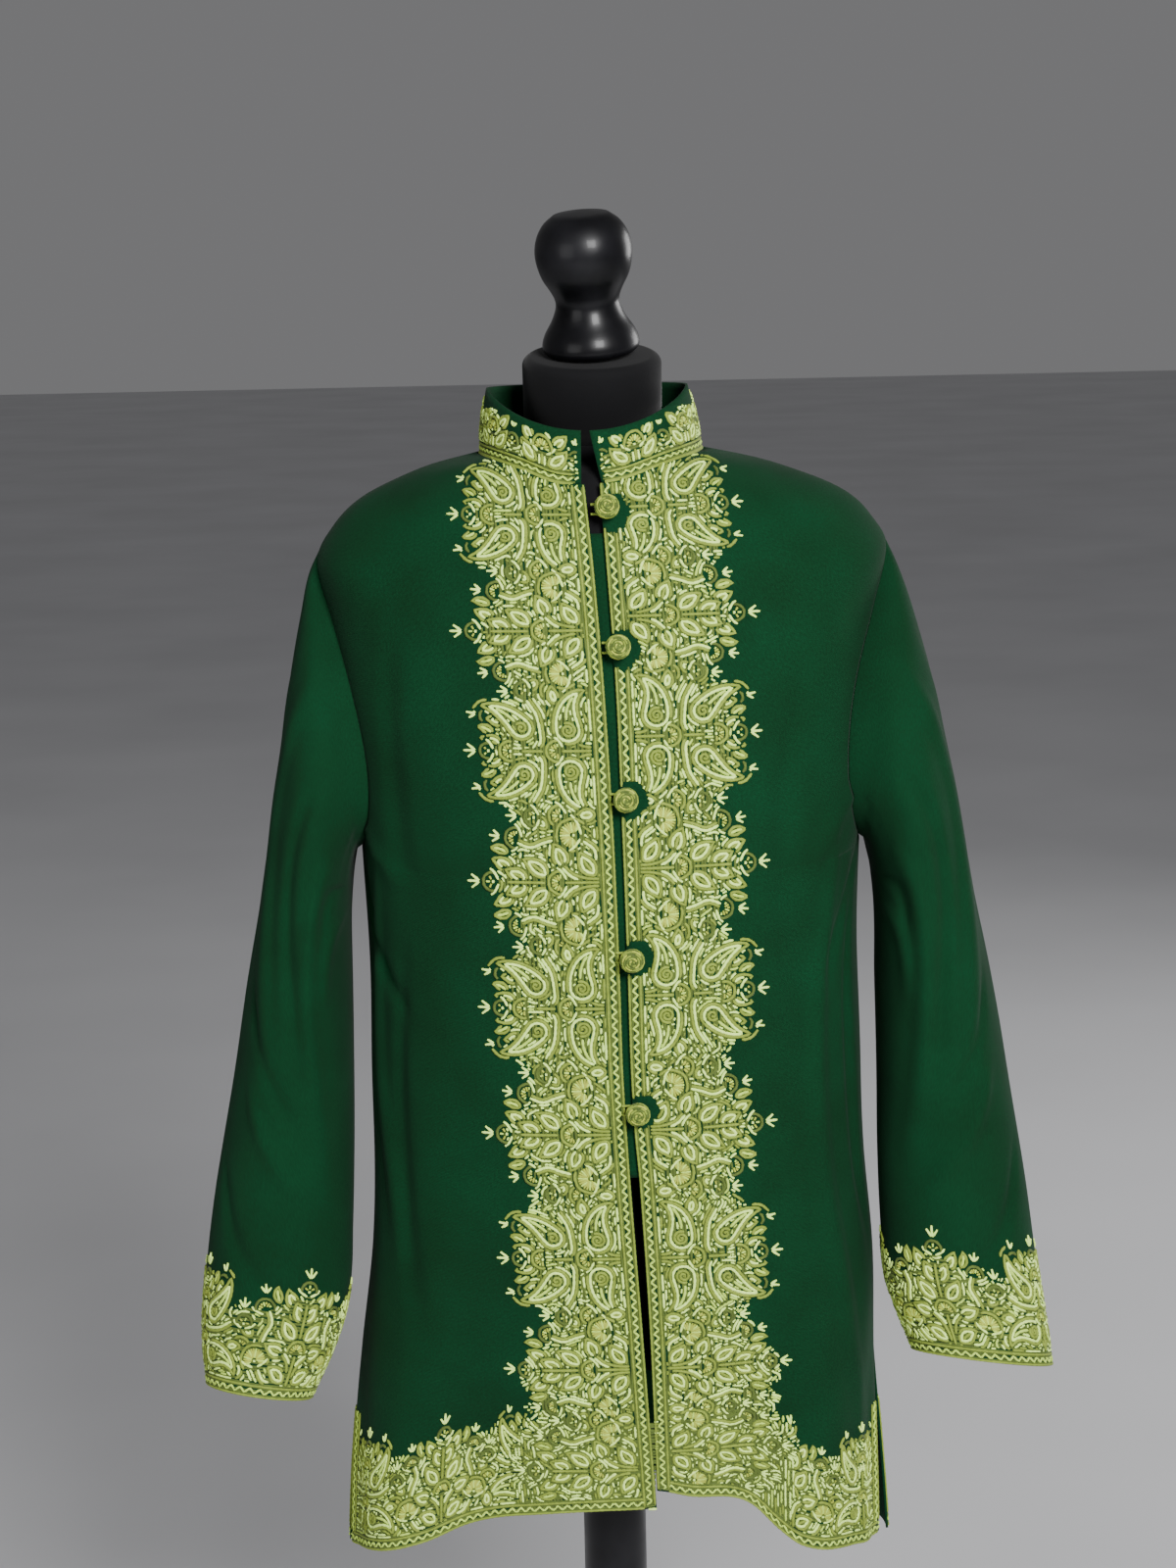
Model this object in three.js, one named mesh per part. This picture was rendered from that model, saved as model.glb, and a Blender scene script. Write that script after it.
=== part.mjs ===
// Woollen jacket with a stand collar, on a limbless dress form with a turned finial and a round base.
// Millimetres, +Z up. The front faces -Y and +X is on the viewer's right. The origin is under the base.
import * as THREE from "three";

// Cloth
const CLOTH = 1.8;
const SEAM_GAP = 0.3;
const UNDERLAP_CLOTH = 1.2;

// Heights of the jacket
const SLIT_TOP = 720;
const UNDERARM = 1117;
const SHOULDER_POINT = 1335;
const FRONT_NECK = 1384;
const NECK_TOP = 1401;

// How finely each direction is divided
const SKIRT_ROWS = 5;
const BODY_ROW_HEIGHT = 50;
const ARMHOLE_STEPS = 12;
const SHOULDER_ROWS = 7;
const NECK_HEIGHTS = [1387, 1390.5, 1394, 1397, 1399.3, 1400.6];
const FRONT_COLUMNS = 13;
const BACK_COLUMNS = 24;
const SLEEVE_POINTS = 2 * ARMHOLE_STEPS;
const FORM_POINTS = 36;
const ROUND_STEPS = 24;
const BASE_STEPS = 40;
const COLLAR_STEP_DEGREES = 10;
const EDGE_DEGREES = [30, 60, 90];
const SEARCH_STEPS = 40;

// Small steps for measuring a surface's slope: degrees or millimetres, sleeve rings, and share of the collar
const SLOPE_STEP = { body: 0.5, ring: 0.02, collarDegrees: 1 };
const NO_OPENING = 1e-6;

// Plan sections of the jacket. half is the half width, square the exponent of the rounded outline.
const BODY_SECTIONS = columns(["z", "cx", "half", "front", "back", "square"], [
  [560, 0, 204, 68, 120, 2.5],
  [630, 1, 201, 76, 116, 2.5],
  [720, 5, 195, 92, 109, 2.5],
  [800, 9, 189, 105, 101, 2.5],
  [880, 9, 183, 115, 93, 2.45],
  [960, 8, 181, 124, 87, 2.4],
  [1040, 7, 179, 132, 87, 2.4],
  [1117, 7, 181, 137, 92, 2.4],
  [1180, 6, 183, 135, 97, 2.4],
  [1240, 4, 189, 127, 99, 2.4],
  [1290, 4, 197, 117, 99, 2.35],
  [1322, 4, 204, 110, 97, 2.2],
  [1335, 5, 203, 107, 95, 2.05],
  [1348, 5, 195, 102, 92, 1.9],
  [1362, 5, 183, 97, 89, 1.8],
  [1373, 4, 167, 93, 85, 1.7],
  [1384, 2, 142, 88, 80, 1.65],
  [1393, 0, 116, 82, 75, 1.75],
  [1401, -2, 80, 72, 70, 1.9],
]);

// Folds of the skirt and body: angle of the crest, half width, push at foot, and where it dies out.
const FOLDS = columns(["angle", "spread", "push", "foot", "top"], [
  [-47, 20, 13, 565, 930],
  [-66, 14, -7, 565, 860],
  [-139, 20, 9, 565, 900],
  [-117, 16, -6, 565, 840],
  [-12, 15, -5, 565, 900],
  [-168, 15, -4, 565, 900],
  [38, 18, 8, 565, 980],
  [66, 16, -6, 565, 930],
  [94, 18, 8, 565, 1000],
  [121, 16, -6, 565, 930],
  [146, 17, 7, 565, 960],
]);

// Where the two fronts end beside the opening. The rows of the skirt start at its angle at SKIRT_HEIGHT.
const SKIRT_HEIGHT = 630;
const OPENING = columns(["z", "left", "right"], [
  [560, 33, 34],
  [630, 30.5, 31.5],
  [700, 26.5, 29.5],
  [780, 22, 27],
  [890, 15.5, 21.5],
  [930, 13.5, 18.5],
  [980, 11.5, 16.5],
  [1050, 10.5, 15.5],
  [1150, 8, 13.5],
  [1250, 3.5, 11],
  [1330, -2, 6.5],
  [1384, -7, 3],
]);

// Hem heights by angle round the body, front at -90
const HEM_LEFT = columns(["angle", "z"], [
  [-180, 565],
  [-154, 575],
  [-130, 592],
  [-118, 606],
  [-109, 614],
  [-100, 618],
  [-92, 620],
  [-80, 622],
]);
const HEM_RIGHT = columns(["angle", "z"], [
  [-90, 638],
  [-84, 636],
  [-78, 630],
  [-70, 626],
  [-64, 617],
  [-58, 599],
  [-52, 586],
  [-39, 577],
  [-20, 569],
  [0, 565],
]);
const HEM_BACK = columns(["angle", "z"], [
  [0, 565],
  [90, 560],
  [180, 565],
]);

// Armhole, as a rounded loop on the body
const ARMHOLE = { frontDegrees: 22, backDegrees: 24, lowFullness: 0.5, degreesPerMm: 0.4, insetPower: 3 };
const SLEEVE_INSET = { top: 1, underarm: 2.8 };

// Side slits: how far the front edge draws back and the back edge stands out at the hem
const SLIT = { frontDegrees: 1.5, leftPush: 1, rightPush: 7, spread: 24 };

// Neckline oval and collar
const NECKLINE = { cx: -2, half: 80, front: 88, back: 70, searchBelow: 20 };
const COLLAR = {
  inset: 1.9, lift: 0.9, rows: 3,
  top: { cx: -4, half: 71, front: 85, back: 63 },
  topFront: 1421, topSide: 1447, topBack: 1446, topPower: 1.6,
  leftEndFoot: -9.5, leftEndTop: -7.5, rightEndFoot: 5, rightEndTop: -1,
};

// Sleeves, ring by ring from the armhole to the cuff. Each ring runs from an outer to an inner point,
// depth is half its size from front to back, and pitch lifts its front.
const SLEEVE_COLUMNS = ["ring", "outX", "outZ", "inX", "inZ", "cy", "depth", "pitch"];
const SLEEVE_LEFT = columns(SLEEVE_COLUMNS, [
  [0, -201, 1335, -174, 1117, -6, 70, 0],
  [1, -208, 1318, -180, 1113, -7, 72, 0],
  [2, -213, 1294, -182, 1107, -8, 74, 0],
  [3, -219, 1264, -183, 1100, -9, 75, 0],
  [4, -225, 1232, -184, 1092, -10, 75, 0],
  [5, -230, 1198, -185, 1081, -11, 74, 0],
  [6, -237, 1160, -186, 1065, -12, 72, 1],
  [7, -244, 1118, -186.5, 1042, -13, 70, 2],
  [8, -252, 1072, -187, 1012, -15, 67, 4],
  [9, -261, 1022, -187.5, 974, -17, 65, 6],
  [10, -271, 968, -188.5, 930, -20, 62, 8],
  [11, -282, 912, -190, 882, -24, 59, 10],
  [12, -292, 856, -192, 834, -29, 56, 12],
  [13, -300, 802, -195, 789, -35, 53, 14],
  [14, -304, 758, -206, 748, -40, 50, 16],
  [15, -302, 716, -227, 702, -45, 48, 17],
]);
const SLEEVE_RIGHT = columns(SLEEVE_COLUMNS, [
  [0, 207, 1335, 188, 1117, -6, 70, 0],
  [1, 215, 1318, 194, 1113, -7, 72, 0],
  [2, 224, 1294, 196, 1107, -8, 74, 0],
  [3, 233, 1264, 197, 1100, -9, 75, 0],
  [4, 242, 1232, 198.5, 1092, -10, 75, 0],
  [5, 249, 1198, 199.5, 1081, -11, 74, 0],
  [6, 257, 1160, 200.5, 1065, -12, 72, 1],
  [7, 265, 1118, 201, 1042, -13, 69, 2],
  [8, 273, 1072, 201, 1012, -15, 66, 4],
  [9, 282, 1022, 201.5, 974, -17, 63, 6],
  [10, 292, 968, 202, 930, -20, 60, 8],
  [11, 301, 912, 202, 882, -24, 56, 10],
  [12, 309, 856, 203, 834, -29, 53, 12],
  [13, 316, 802, 206, 789, -35, 49, 14],
  [14, 323, 756, 214, 762, -40, 46, 16],
  [15, 328, 716, 226, 731, -45, 44, 17],
]);
const SLEEVE_SETTLES_BY = 6;

// Strip of cloth behind the opening
const UNDERLAP = { bottom: 893, top: 1352, pastLeft: 14, pastRight: 11, clear: 0.9, rows: 12, columns: 3 };

// Buttons and the cord loops round their shanks
const BUTTON_HEIGHTS = [1367, 1275, 1173, 1061, 947];
const BUTTON = {
  pastEdge: 3.5, shankRadius: 2, shankHeight: 3.6, radius: 8.8, height: 15, segments: 12,
  ringDegrees: [-60, -35, -12, 12, 35, 60, 78],
};
const LOOP = { cordRadius: 0.9, inner: 3.4, reach: 11, lift: 0.7, sides: 6, bendSteps: 8 };

// Dress form
const FORM = {
  bottom: 730, neckRadius: 51, neckTilt: 11, neckY: 6, neckZ: 1417, neckHeight: 53, chestEase: 3,
  neckRings: [{ wider: 6, drop: 8 }, { wider: 1.5, drop: 3 }, { wider: 0, drop: 0 }],
};
const FORM_EASE = columns(["z", "ease"], [
  [730, 17],
  [820, 15],
  [950, 24],
  [1060, 14],
  [1150, 9],
  [1240, 11],
  [1290, 11],
  [1322, 8],
  [1340, 4.5],
  [1356, 1.9],
  [1384, 1.9],
  [1394, 2.6],
  [1401, 6],
]);
const FORM_ROWS = [730, 775, 820, 880, 950, 1010, 1060, 1117, 1180, 1240, 1290, 1320];
const NECK_BLOCK = { edge: 7, footInset: 1, headInset: 1.5 };
const FINIAL_PROFILE = [[0, 0], [31, 0], [34, 3], [34.5, 8], [32, 15], [26.5, 24], [23, 33], [23, 39], [26, 46],
  [31, 55], [34, 66], [34.3, 75], [32, 84], [27, 92], [20, 97.5], [0, 98.5]];
const FINIAL_LEAN = 3.5;
const POLE_RADIUS = 24;
const BASE = { radius: 190, thickness: 18, edge: 5 };

const GREEN = { color: 0x0f4a26, roughness: 0.85, metalness: 0 };
const OLIVE = { color: 0x7d7a2e, roughness: 0.8, metalness: 0 };
const BLACK_JERSEY = { color: 0x0c0c0e, roughness: 0.95, metalness: 0 };
const BLACK_GLOSS = { color: 0x08080a, roughness: 0.25, metalness: 0 };

function columns(names, rows) {
  return rows.map((row) => Object.fromEntries(names.map((name, i) => [name, row[i]])));
}

function lerp(a, b, t) {
  return a + (b - a) * t;
}

function smooth(t) {
  const s = Math.min(1, Math.max(0, t));
  return s * s * (3 - 2 * s);
}

function radians(degrees) {
  return degrees * Math.PI / 180;
}

function signedPower(value, power) {
  return Math.sign(value) * Math.abs(value) ** power;
}

// Smooth curve through one column of a table whose rows rise in the key column.
function sample(table, key, name, at) {
  const last = table.length - 1;
  if (at <= table[0][key]) return table[0][name];
  if (at >= table[last][key]) return table[last][name];
  let i = 0;
  while (table[i + 1][key] < at) i += 1;
  const slope = (j) => {
    const low = table[Math.max(0, j - 1)];
    const high = table[Math.min(last, j + 1)];
    return (high[name] - low[name]) / (high[key] - low[key]);
  };
  const span = table[i + 1][key] - table[i][key];
  const t = (at - table[i][key]) / span;
  const h = 1 - t;
  return table[i][name] * h * h * (1 + 2 * t) + table[i + 1][name] * t * t * (3 - 2 * t)
    + span * t * h * (slope(i) * h - slope(i + 1) * t);
}

function sectionAt(z) {
  const names = ["cx", "half", "front", "back", "square"];
  return Object.fromEntries(names.map((name) => [name, sample(BODY_SECTIONS, "z", name, z)]));
}

// Outward push of all folds at one place. Angles run from -180 to 180, front at -90.
function foldPush(degrees, z) {
  let push = 0;
  for (const fold of FOLDS) {
    let away = Math.abs(degrees - fold.angle);
    if (away > 180) away = 360 - away;
    const across = smooth(1 - away / fold.spread);
    const upward = smooth((fold.top - z) / (fold.top - fold.foot));
    push += fold.push * across * upward;
  }
  return push;
}

// Point of the jacket's middle surface at an angle and height, pushed out by extra.
function bodyPoint(degrees, z, { folds = true, extra = 0 } = {}) {
  const section = sectionAt(z);
  const c = Math.cos(radians(degrees));
  const s = Math.sin(radians(degrees));
  const power = 2 / section.square;
  const depth = s < 0 ? section.front : section.back;
  const outward = new THREE.Vector2(
    signedPower(c, 2 - power) / section.half,
    signedPower(s, 2 - power) / depth,
  ).normalize();
  const push = (folds ? foldPush(degrees, z) : 0) + extra;
  return new THREE.Vector3(
    section.cx + section.half * signedPower(c, power) + outward.x * push,
    depth * signedPower(s, power) + outward.y * push,
    z,
  );
}

// Outward normal of any surface given as point(u, v), by small steps.
function surfaceNormal(point, u, v, stepU, stepV, outward) {
  const alongU = point(u + stepU, v).sub(point(u - stepU, v));
  const alongV = point(u, v + stepV).sub(point(u, v - stepV));
  const normal = alongU.cross(alongV).normalize();
  return normal.dot(outward) < 0 ? normal.negate() : normal;
}

function bodyNormal(degrees, z, options) {
  const here = bodyPoint(degrees, z, options);
  const outward = new THREE.Vector3(here.x - sectionAt(z).cx, here.y, CLOTH);
  const point = (a, h) => bodyPoint(a, h, options);
  return surfaceNormal(point, degrees, z, SLOPE_STEP.body, SLOPE_STEP.body, outward);
}

// Angle on the section at height z for a point at x on the front.
function frontAngle(x, z) {
  const section = sectionAt(z);
  const c = signedPower((x - section.cx) / section.half, section.square / 2);
  return -Math.acos(c) * 180 / Math.PI;
}

// Half opening of the armhole, in degrees from the side, at the loop angle phi (0 at the shoulder).
function armholeDegrees(phi, widest) {
  return widest * Math.sin(phi) * (1 - ARMHOLE.lowFullness * Math.cos(phi));
}

function armholeHeight(phi, inset = 0) {
  const middle = (SHOULDER_POINT + UNDERARM) / 2;
  return middle + ((SHOULDER_POINT - UNDERARM) / 2 - inset) * Math.cos(phi);
}

// Neckline: the oval dropped on to the shoulders, with its height and its angle on that section.
function necklineAt(degrees, inset = 0) {
  const c = Math.cos(radians(degrees));
  const s = Math.sin(radians(degrees));
  const x = NECKLINE.cx + (NECKLINE.half - inset) * c;
  const y = ((s < 0 ? NECKLINE.front : NECKLINE.back) - inset) * s;
  let low = FRONT_NECK - NECKLINE.searchBelow;
  let high = NECK_TOP;
  for (let i = 0; i < SEARCH_STEPS; i += 1) {
    const z = (low + high) / 2;
    const section = sectionAt(z);
    const depth = y < 0 ? section.front : section.back;
    const level = Math.abs((x - section.cx) / section.half) ** section.square
      + Math.abs(y / depth) ** section.square;
    if (level < 1) low = z;
    else high = z;
  }
  const section = sectionAt(low);
  const depth = y < 0 ? section.front : section.back;
  const angle = Math.atan2(
    signedPower(y / depth, section.square / 2),
    signedPower((x - section.cx) / section.half, section.square / 2),
  ) * 180 / Math.PI;
  return { x, y, z: low, angle };
}

// Angle on the section at height z where the front's neckline crosses it.
function necklineAngle(z, side) {
  let low = 0;
  let high = 90;
  for (let i = 0; i < SEARCH_STEPS; i += 1) {
    const turn = (low + high) / 2;
    if (necklineAt(-90 + side * turn).z < z) low = turn;
    else high = turn;
  }
  const { angle } = necklineAt(-90 + side * low);
  return angle > 0 ? angle - 360 : angle;
}

// Closed shell from two matching grids of points. wrap joins the last column to the first.
function shell(outer, inner, wrap) {
  const rows = outer.length;
  const cols = outer[0].length;
  const positions = [...outer.flat(), ...inner.flat()].flatMap((p) => [p.x, p.y, p.z]);
  const out = (r, c) => r * cols + (c % cols);
  const back = (r, c) => rows * cols + out(r, c);
  const index = [];
  const quad = (a, b, c, d) => index.push(a, b, c, a, c, d);
  const spans = wrap ? cols : cols - 1;
  for (let r = 0; r < rows - 1; r += 1) {
    for (let c = 0; c < spans; c += 1) {
      quad(out(r, c), out(r, c + 1), out(r + 1, c + 1), out(r + 1, c));
      quad(back(r, c), back(r + 1, c), back(r + 1, c + 1), back(r, c + 1));
    }
  }
  for (let c = 0; c < spans; c += 1) {
    quad(out(0, c), back(0, c), back(0, c + 1), out(0, c + 1));
    quad(out(rows - 1, c), out(rows - 1, c + 1), back(rows - 1, c + 1), back(rows - 1, c));
  }
  if (!wrap) {
    for (let r = 0; r < rows - 1; r += 1) {
      quad(out(r, 0), out(r + 1, 0), back(r + 1, 0), back(r, 0));
      quad(out(r, cols - 1), back(r, cols - 1), back(r + 1, cols - 1), out(r + 1, cols - 1));
    }
  }
  return facingOut(positions, index);
}

// Solid from stacked rings of points, closed by a fan at each end.
function stack(rings) {
  const count = rings[0].length;
  const points = rings.flat();
  const index = [];
  for (let r = 0; r < rings.length - 1; r += 1) {
    for (let c = 0; c < count; c += 1) {
      const a = r * count + c;
      const b = r * count + (c + 1) % count;
      index.push(a, b, b + count, a, b + count, a + count);
    }
  }
  const foot = points.length;
  const head = foot + 1;
  const last = (rings.length - 1) * count;
  points.push(centreOf(rings[0]), centreOf(rings[rings.length - 1]));
  for (let c = 0; c < count; c += 1) {
    const next = (c + 1) % count;
    index.push(foot, next, c, head, last + c, last + next);
  }
  return facingOut(points.flatMap((p) => [p.x, p.y, p.z]), index);
}

function centreOf(ring) {
  return ring.reduce((sum, p) => sum.add(p), new THREE.Vector3()).divideScalar(ring.length);
}

// Geometry with its faces turned outward, judged by the signed volume.
function facingOut(positions, index) {
  const point = (i) => new THREE.Vector3(...positions.slice(3 * i, 3 * i + 3));
  let volume = 0;
  for (let i = 0; i < index.length; i += 3) {
    volume += point(index[i]).dot(point(index[i + 1]).cross(point(index[i + 2])));
  }
  const faces = [...index];
  if (volume < 0) {
    for (let i = 0; i < faces.length; i += 3) {
      [faces[i + 1], faces[i + 2]] = [faces[i + 2], faces[i + 1]];
    }
  }
  const geometry = new THREE.BufferGeometry();
  geometry.setAttribute("position", new THREE.Float32BufferAttribute(positions, 3));
  geometry.setIndex(faces);
  return geometry;
}

// Cloth piece from a grid of body places { angle, z, extra, shiftY }.
function clothFromBody(places, thickness = CLOTH, depthBelow = 0) {
  const side = (sign) => places.map((row) => row.map(({ angle, z, extra = 0, shiftY = 0 }) => {
    const options = { extra };
    const normal = bodyNormal(angle, z, options);
    const point = bodyPoint(angle, z, options).addScaledVector(normal, sign * thickness / 2 - depthBelow);
    point.y += shiftY;
    return point;
  }));
  return shell(side(1), side(-1), false);
}

// Rows shared by both fronts and the back: height and armhole loop angle, from the slit top upward.
function bodyRows() {
  const rows = [];
  const count = Math.round((UNDERARM - SLIT_TOP) / BODY_ROW_HEIGHT);
  for (let i = 0; i < count; i += 1) rows.push({ z: lerp(SLIT_TOP, UNDERARM, i / count), phi: Math.PI });
  for (let i = ARMHOLE_STEPS; i >= 0; i -= 1) {
    const phi = Math.PI * i / ARMHOLE_STEPS;
    rows.push({ z: armholeHeight(phi), phi });
  }
  for (let i = 1; i <= SHOULDER_ROWS; i += 1) {
    rows.push({ z: lerp(SHOULDER_POINT, FRONT_NECK, i / SHOULDER_ROWS), phi: 0 });
  }
  return rows;
}

// One front. side is -1 for the viewer's left and 1 for the viewer's right.
function frontPiece(side) {
  const edge = side < 0 ? "left" : "right";
  const hem = side < 0 ? HEM_LEFT : HEM_RIGHT;
  const sideAngle = side < 0 ? -180 : 0;
  const openingAngle = (z) => frontAngle(sample(OPENING, "z", edge, z), z);
  const row = (inner, outer, heightAt) => Array.from({ length: FRONT_COLUMNS + 1 }, (_, c) => {
    const angle = lerp(inner, outer, c / FRONT_COLUMNS);
    const onSeam = c === FRONT_COLUMNS && outer === sideAngle;
    return { angle, z: heightAt(angle), shiftY: onSeam ? -SEAM_GAP / 2 : 0 };
  });
  const places = [];
  for (let i = 0; i < SKIRT_ROWS; i += 1) {
    const t = i / SKIRT_ROWS;
    const heightAt = (angle) => lerp(sample(hem, "angle", "z", angle), SLIT_TOP, t);
    const inner = openingAngle(heightAt(openingAngle(SKIRT_HEIGHT)));
    const drawn = SLIT.frontDegrees * (1 - t);
    places.push(row(inner, sideAngle - side * drawn, heightAt));
  }
  for (const { z, phi } of bodyRows()) {
    const outer = sideAngle - side * armholeDegrees(phi, ARMHOLE.frontDegrees);
    places.push(row(openingAngle(z), Math.sin(phi) < NO_OPENING ? sideAngle : outer, () => z));
  }
  for (const z of NECK_HEIGHTS) places.push(row(necklineAngle(z, side), sideAngle, () => z));
  return clothFromBody(places);
}

function backPiece() {
  const hemAt = (angle) => sample(HEM_BACK, "angle", "z", angle);
  const row = (low, high, heightAt, extraAt) => Array.from({ length: BACK_COLUMNS + 1 }, (_, c) => {
    const angle = lerp(low, high, c / BACK_COLUMNS);
    const onSeam = (c === 0 && low === 0) || (c === BACK_COLUMNS && high === 180);
    return { angle, z: heightAt(angle), extra: extraAt(angle), shiftY: onSeam ? SEAM_GAP / 2 : 0 };
  });
  const places = [];
  for (let i = 0; i < SKIRT_ROWS; i += 1) {
    const t = i / SKIRT_ROWS;
    const flare = (angle) => (1 - t) * (
      SLIT.rightPush * smooth(1 - angle / SLIT.spread)
      + SLIT.leftPush * smooth(1 - (180 - angle) / SLIT.spread));
    places.push(row(0, 180, (angle) => lerp(hemAt(angle), SLIT_TOP, t), flare));
  }
  for (const { z, phi } of bodyRows()) {
    const open = Math.sin(phi) < NO_OPENING ? 0 : armholeDegrees(phi, ARMHOLE.backDegrees);
    places.push(row(open, 180 - open, () => z, () => 0));
  }
  for (const z of [...NECK_HEIGHTS, NECK_TOP]) places.push(row(0, 180, () => z, () => 0));
  return clothFromBody(places);
}

// Sleeve: rings that fan out from the armhole and then hang down to the cuff.
function sleevePiece(side) {
  const table = side < 0 ? SLEEVE_LEFT : SLEEVE_RIGHT;
  const loopPlace = (phi) => {
    const downward = ((1 - Math.cos(phi)) / 2) ** ARMHOLE.insetPower;
    const inset = lerp(SLEEVE_INSET.top, SLEEVE_INSET.underarm, downward);
    const reach = Math.sin(phi) >= 0 ? ARMHOLE.frontDegrees : ARMHOLE.backDegrees;
    const away = armholeDegrees(phi, reach - inset * ARMHOLE.degreesPerMm);
    return { angle: side < 0 ? -180 + away : -away, z: armholeHeight(phi, inset) };
  };
  const plainRing = (ring, phi) => {
    const read = (name) => sample(table, "ring", name, ring);
    const across = (1 + Math.cos(phi)) / 2;
    const forward = read("depth") * Math.sin(phi);
    return new THREE.Vector3(
      lerp(read("inX"), read("outX"), across),
      read("cy") - forward * Math.cos(radians(read("pitch"))),
      lerp(read("inZ"), read("outZ"), across) + forward * Math.sin(radians(read("pitch"))),
    );
  };
  const point = (ring, phi) => {
    const { angle, z } = loopPlace(phi);
    const stays = (1 - Math.min(1, Math.max(0, ring) / SLEEVE_SETTLES_BY)) ** 2;
    const fromLoop = bodyPoint(angle, z).sub(plainRing(0, phi));
    return plainRing(ring, phi).addScaledVector(fromLoop, stays);
  };
  const normalAt = (ring, phi) => {
    const { angle, z } = loopPlace(phi);
    if (ring === 0) return bodyNormal(angle, z);
    const middle = plainRing(ring, 0).add(plainRing(ring, Math.PI)).divideScalar(2);
    const outward = point(ring, phi).sub(middle);
    return surfaceNormal(point, ring, phi, SLOPE_STEP.ring, SLOPE_STEP.ring, outward);
  };
  const last = table[table.length - 1].ring;
  const wall = (sign) => Array.from({ length: last + 1 }, (_, ring) => (
    Array.from({ length: SLEEVE_POINTS }, (__, i) => {
      const phi = 2 * Math.PI * i / SLEEVE_POINTS;
      return point(ring, phi).addScaledVector(normalAt(ring, phi), sign * CLOTH / 2);
    })
  ));
  return shell(wall(1), wall(-1), true);
}

// Stand collar, from the right end of the opening round the back to the left end.
function collarPiece() {
  const { top } = COLLAR;
  const end = (x, cx, half, direction) => -90 + direction * Math.asin(Math.abs(x - cx) / half) * 180 / Math.PI;
  const topHeight = (degrees) => {
    const s = Math.sin(radians(degrees));
    return lerp(COLLAR.topSide, s < 0 ? COLLAR.topFront : COLLAR.topBack, Math.abs(s) ** COLLAR.topPower);
  };
  const point = (degrees, t) => {
    const turn = degrees > 180 ? degrees - 360 : degrees;
    const foot = necklineAt(turn, COLLAR.inset);
    const { z: innerHeight } = necklineAt(turn, COLLAR.inset + CLOTH / 2);
    const c = Math.cos(radians(degrees));
    const s = Math.sin(radians(degrees));
    const topPoint = new THREE.Vector3(
      top.cx + top.half * c,
      (s < 0 ? top.front : top.back) * s,
      topHeight(degrees),
    );
    const footPoint = new THREE.Vector3(foot.x, foot.y, innerHeight + COLLAR.lift);
    return footPoint.lerp(topPoint, t);
  };
  const grid = (sign) => Array.from({ length: COLLAR.rows + 1 }, (_, r) => {
    const t = r / COLLAR.rows;
    const start = end(lerp(COLLAR.rightEndFoot, COLLAR.rightEndTop, t), NECKLINE.cx, NECKLINE.half, 1);
    const finish = 360 + end(lerp(COLLAR.leftEndFoot, COLLAR.leftEndTop, t), NECKLINE.cx, NECKLINE.half, -1);
    const stops = [start];
    for (let a = -80; a < 260; a += COLLAR_STEP_DEGREES) stops.push(a);
    stops.push(finish);
    return stops.map((degrees) => {
      const outward = new THREE.Vector3(Math.cos(radians(degrees)), Math.sin(radians(degrees)), 0);
      const normal = surfaceNormal(point, degrees, t, SLOPE_STEP.collarDegrees, SLOPE_STEP.ring, outward);
      return point(degrees, t).addScaledVector(normal, sign * CLOTH / 2);
    });
  });
  return shell(grid(1), grid(-1), false);
}

function underlapPiece() {
  const below = CLOTH / 2 + UNDERLAP.clear + UNDERLAP_CLOTH / 2;
  const places = Array.from({ length: UNDERLAP.rows + 1 }, (_, r) => {
    const z = lerp(UNDERLAP.bottom, UNDERLAP.top, r / UNDERLAP.rows);
    const from = frontAngle(sample(OPENING, "z", "left", z) - UNDERLAP.pastLeft, z);
    const to = frontAngle(sample(OPENING, "z", "right", z) + UNDERLAP.pastRight, z);
    return Array.from({ length: UNDERLAP.columns + 1 }, (__, c) => (
      { angle: lerp(from, to, c / UNDERLAP.columns), z }
    ));
  });
  return clothFromBody(places, UNDERLAP_CLOTH, below);
}

// Local axes on the front beside the opening, for a button and its loop.
function buttonSeat(z) {
  const x = sample(OPENING, "z", "right", z) + BUTTON.pastEdge;
  const angle = frontAngle(x, z);
  const normal = bodyNormal(angle, z);
  const across = new THREE.Vector3(1, 0, 0).addScaledVector(normal, -normal.x).normalize();
  const up = normal.clone().cross(across).negate();
  const origin = bodyPoint(angle, z).addScaledVector(normal, CLOTH / 2 + SEAM_GAP);
  return new THREE.Matrix4().makeBasis(across, normal, up).setPosition(origin);
}

function buttonPiece(z) {
  const { shankRadius, shankHeight, radius, height, segments, ringDegrees } = BUTTON;
  const ballHalf = (height - shankHeight) / 2;
  const profile = [[0, 0], [shankRadius, 0], [shankRadius, shankHeight]];
  for (const degrees of ringDegrees) {
    const a = radians(degrees);
    profile.push([radius * Math.cos(a), shankHeight + ballHalf * (1 + Math.sin(a))]);
  }
  profile.push([0, height]);
  const geometry = lathe(profile, segments);
  return geometry.applyMatrix4(buttonSeat(z));
}

// Round solid from a profile of [radius, height] that starts and ends on the axis. The axis is local Y.
function lathe(profile, segments) {
  const rings = profile.slice(1, -1).map(([r, h]) => Array.from({ length: segments }, (_, i) => {
    const turn = 2 * Math.PI * i / segments;
    return new THREE.Vector3(r * Math.cos(turn), h, r * Math.sin(turn));
  }));
  return stack(rings);
}

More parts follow.
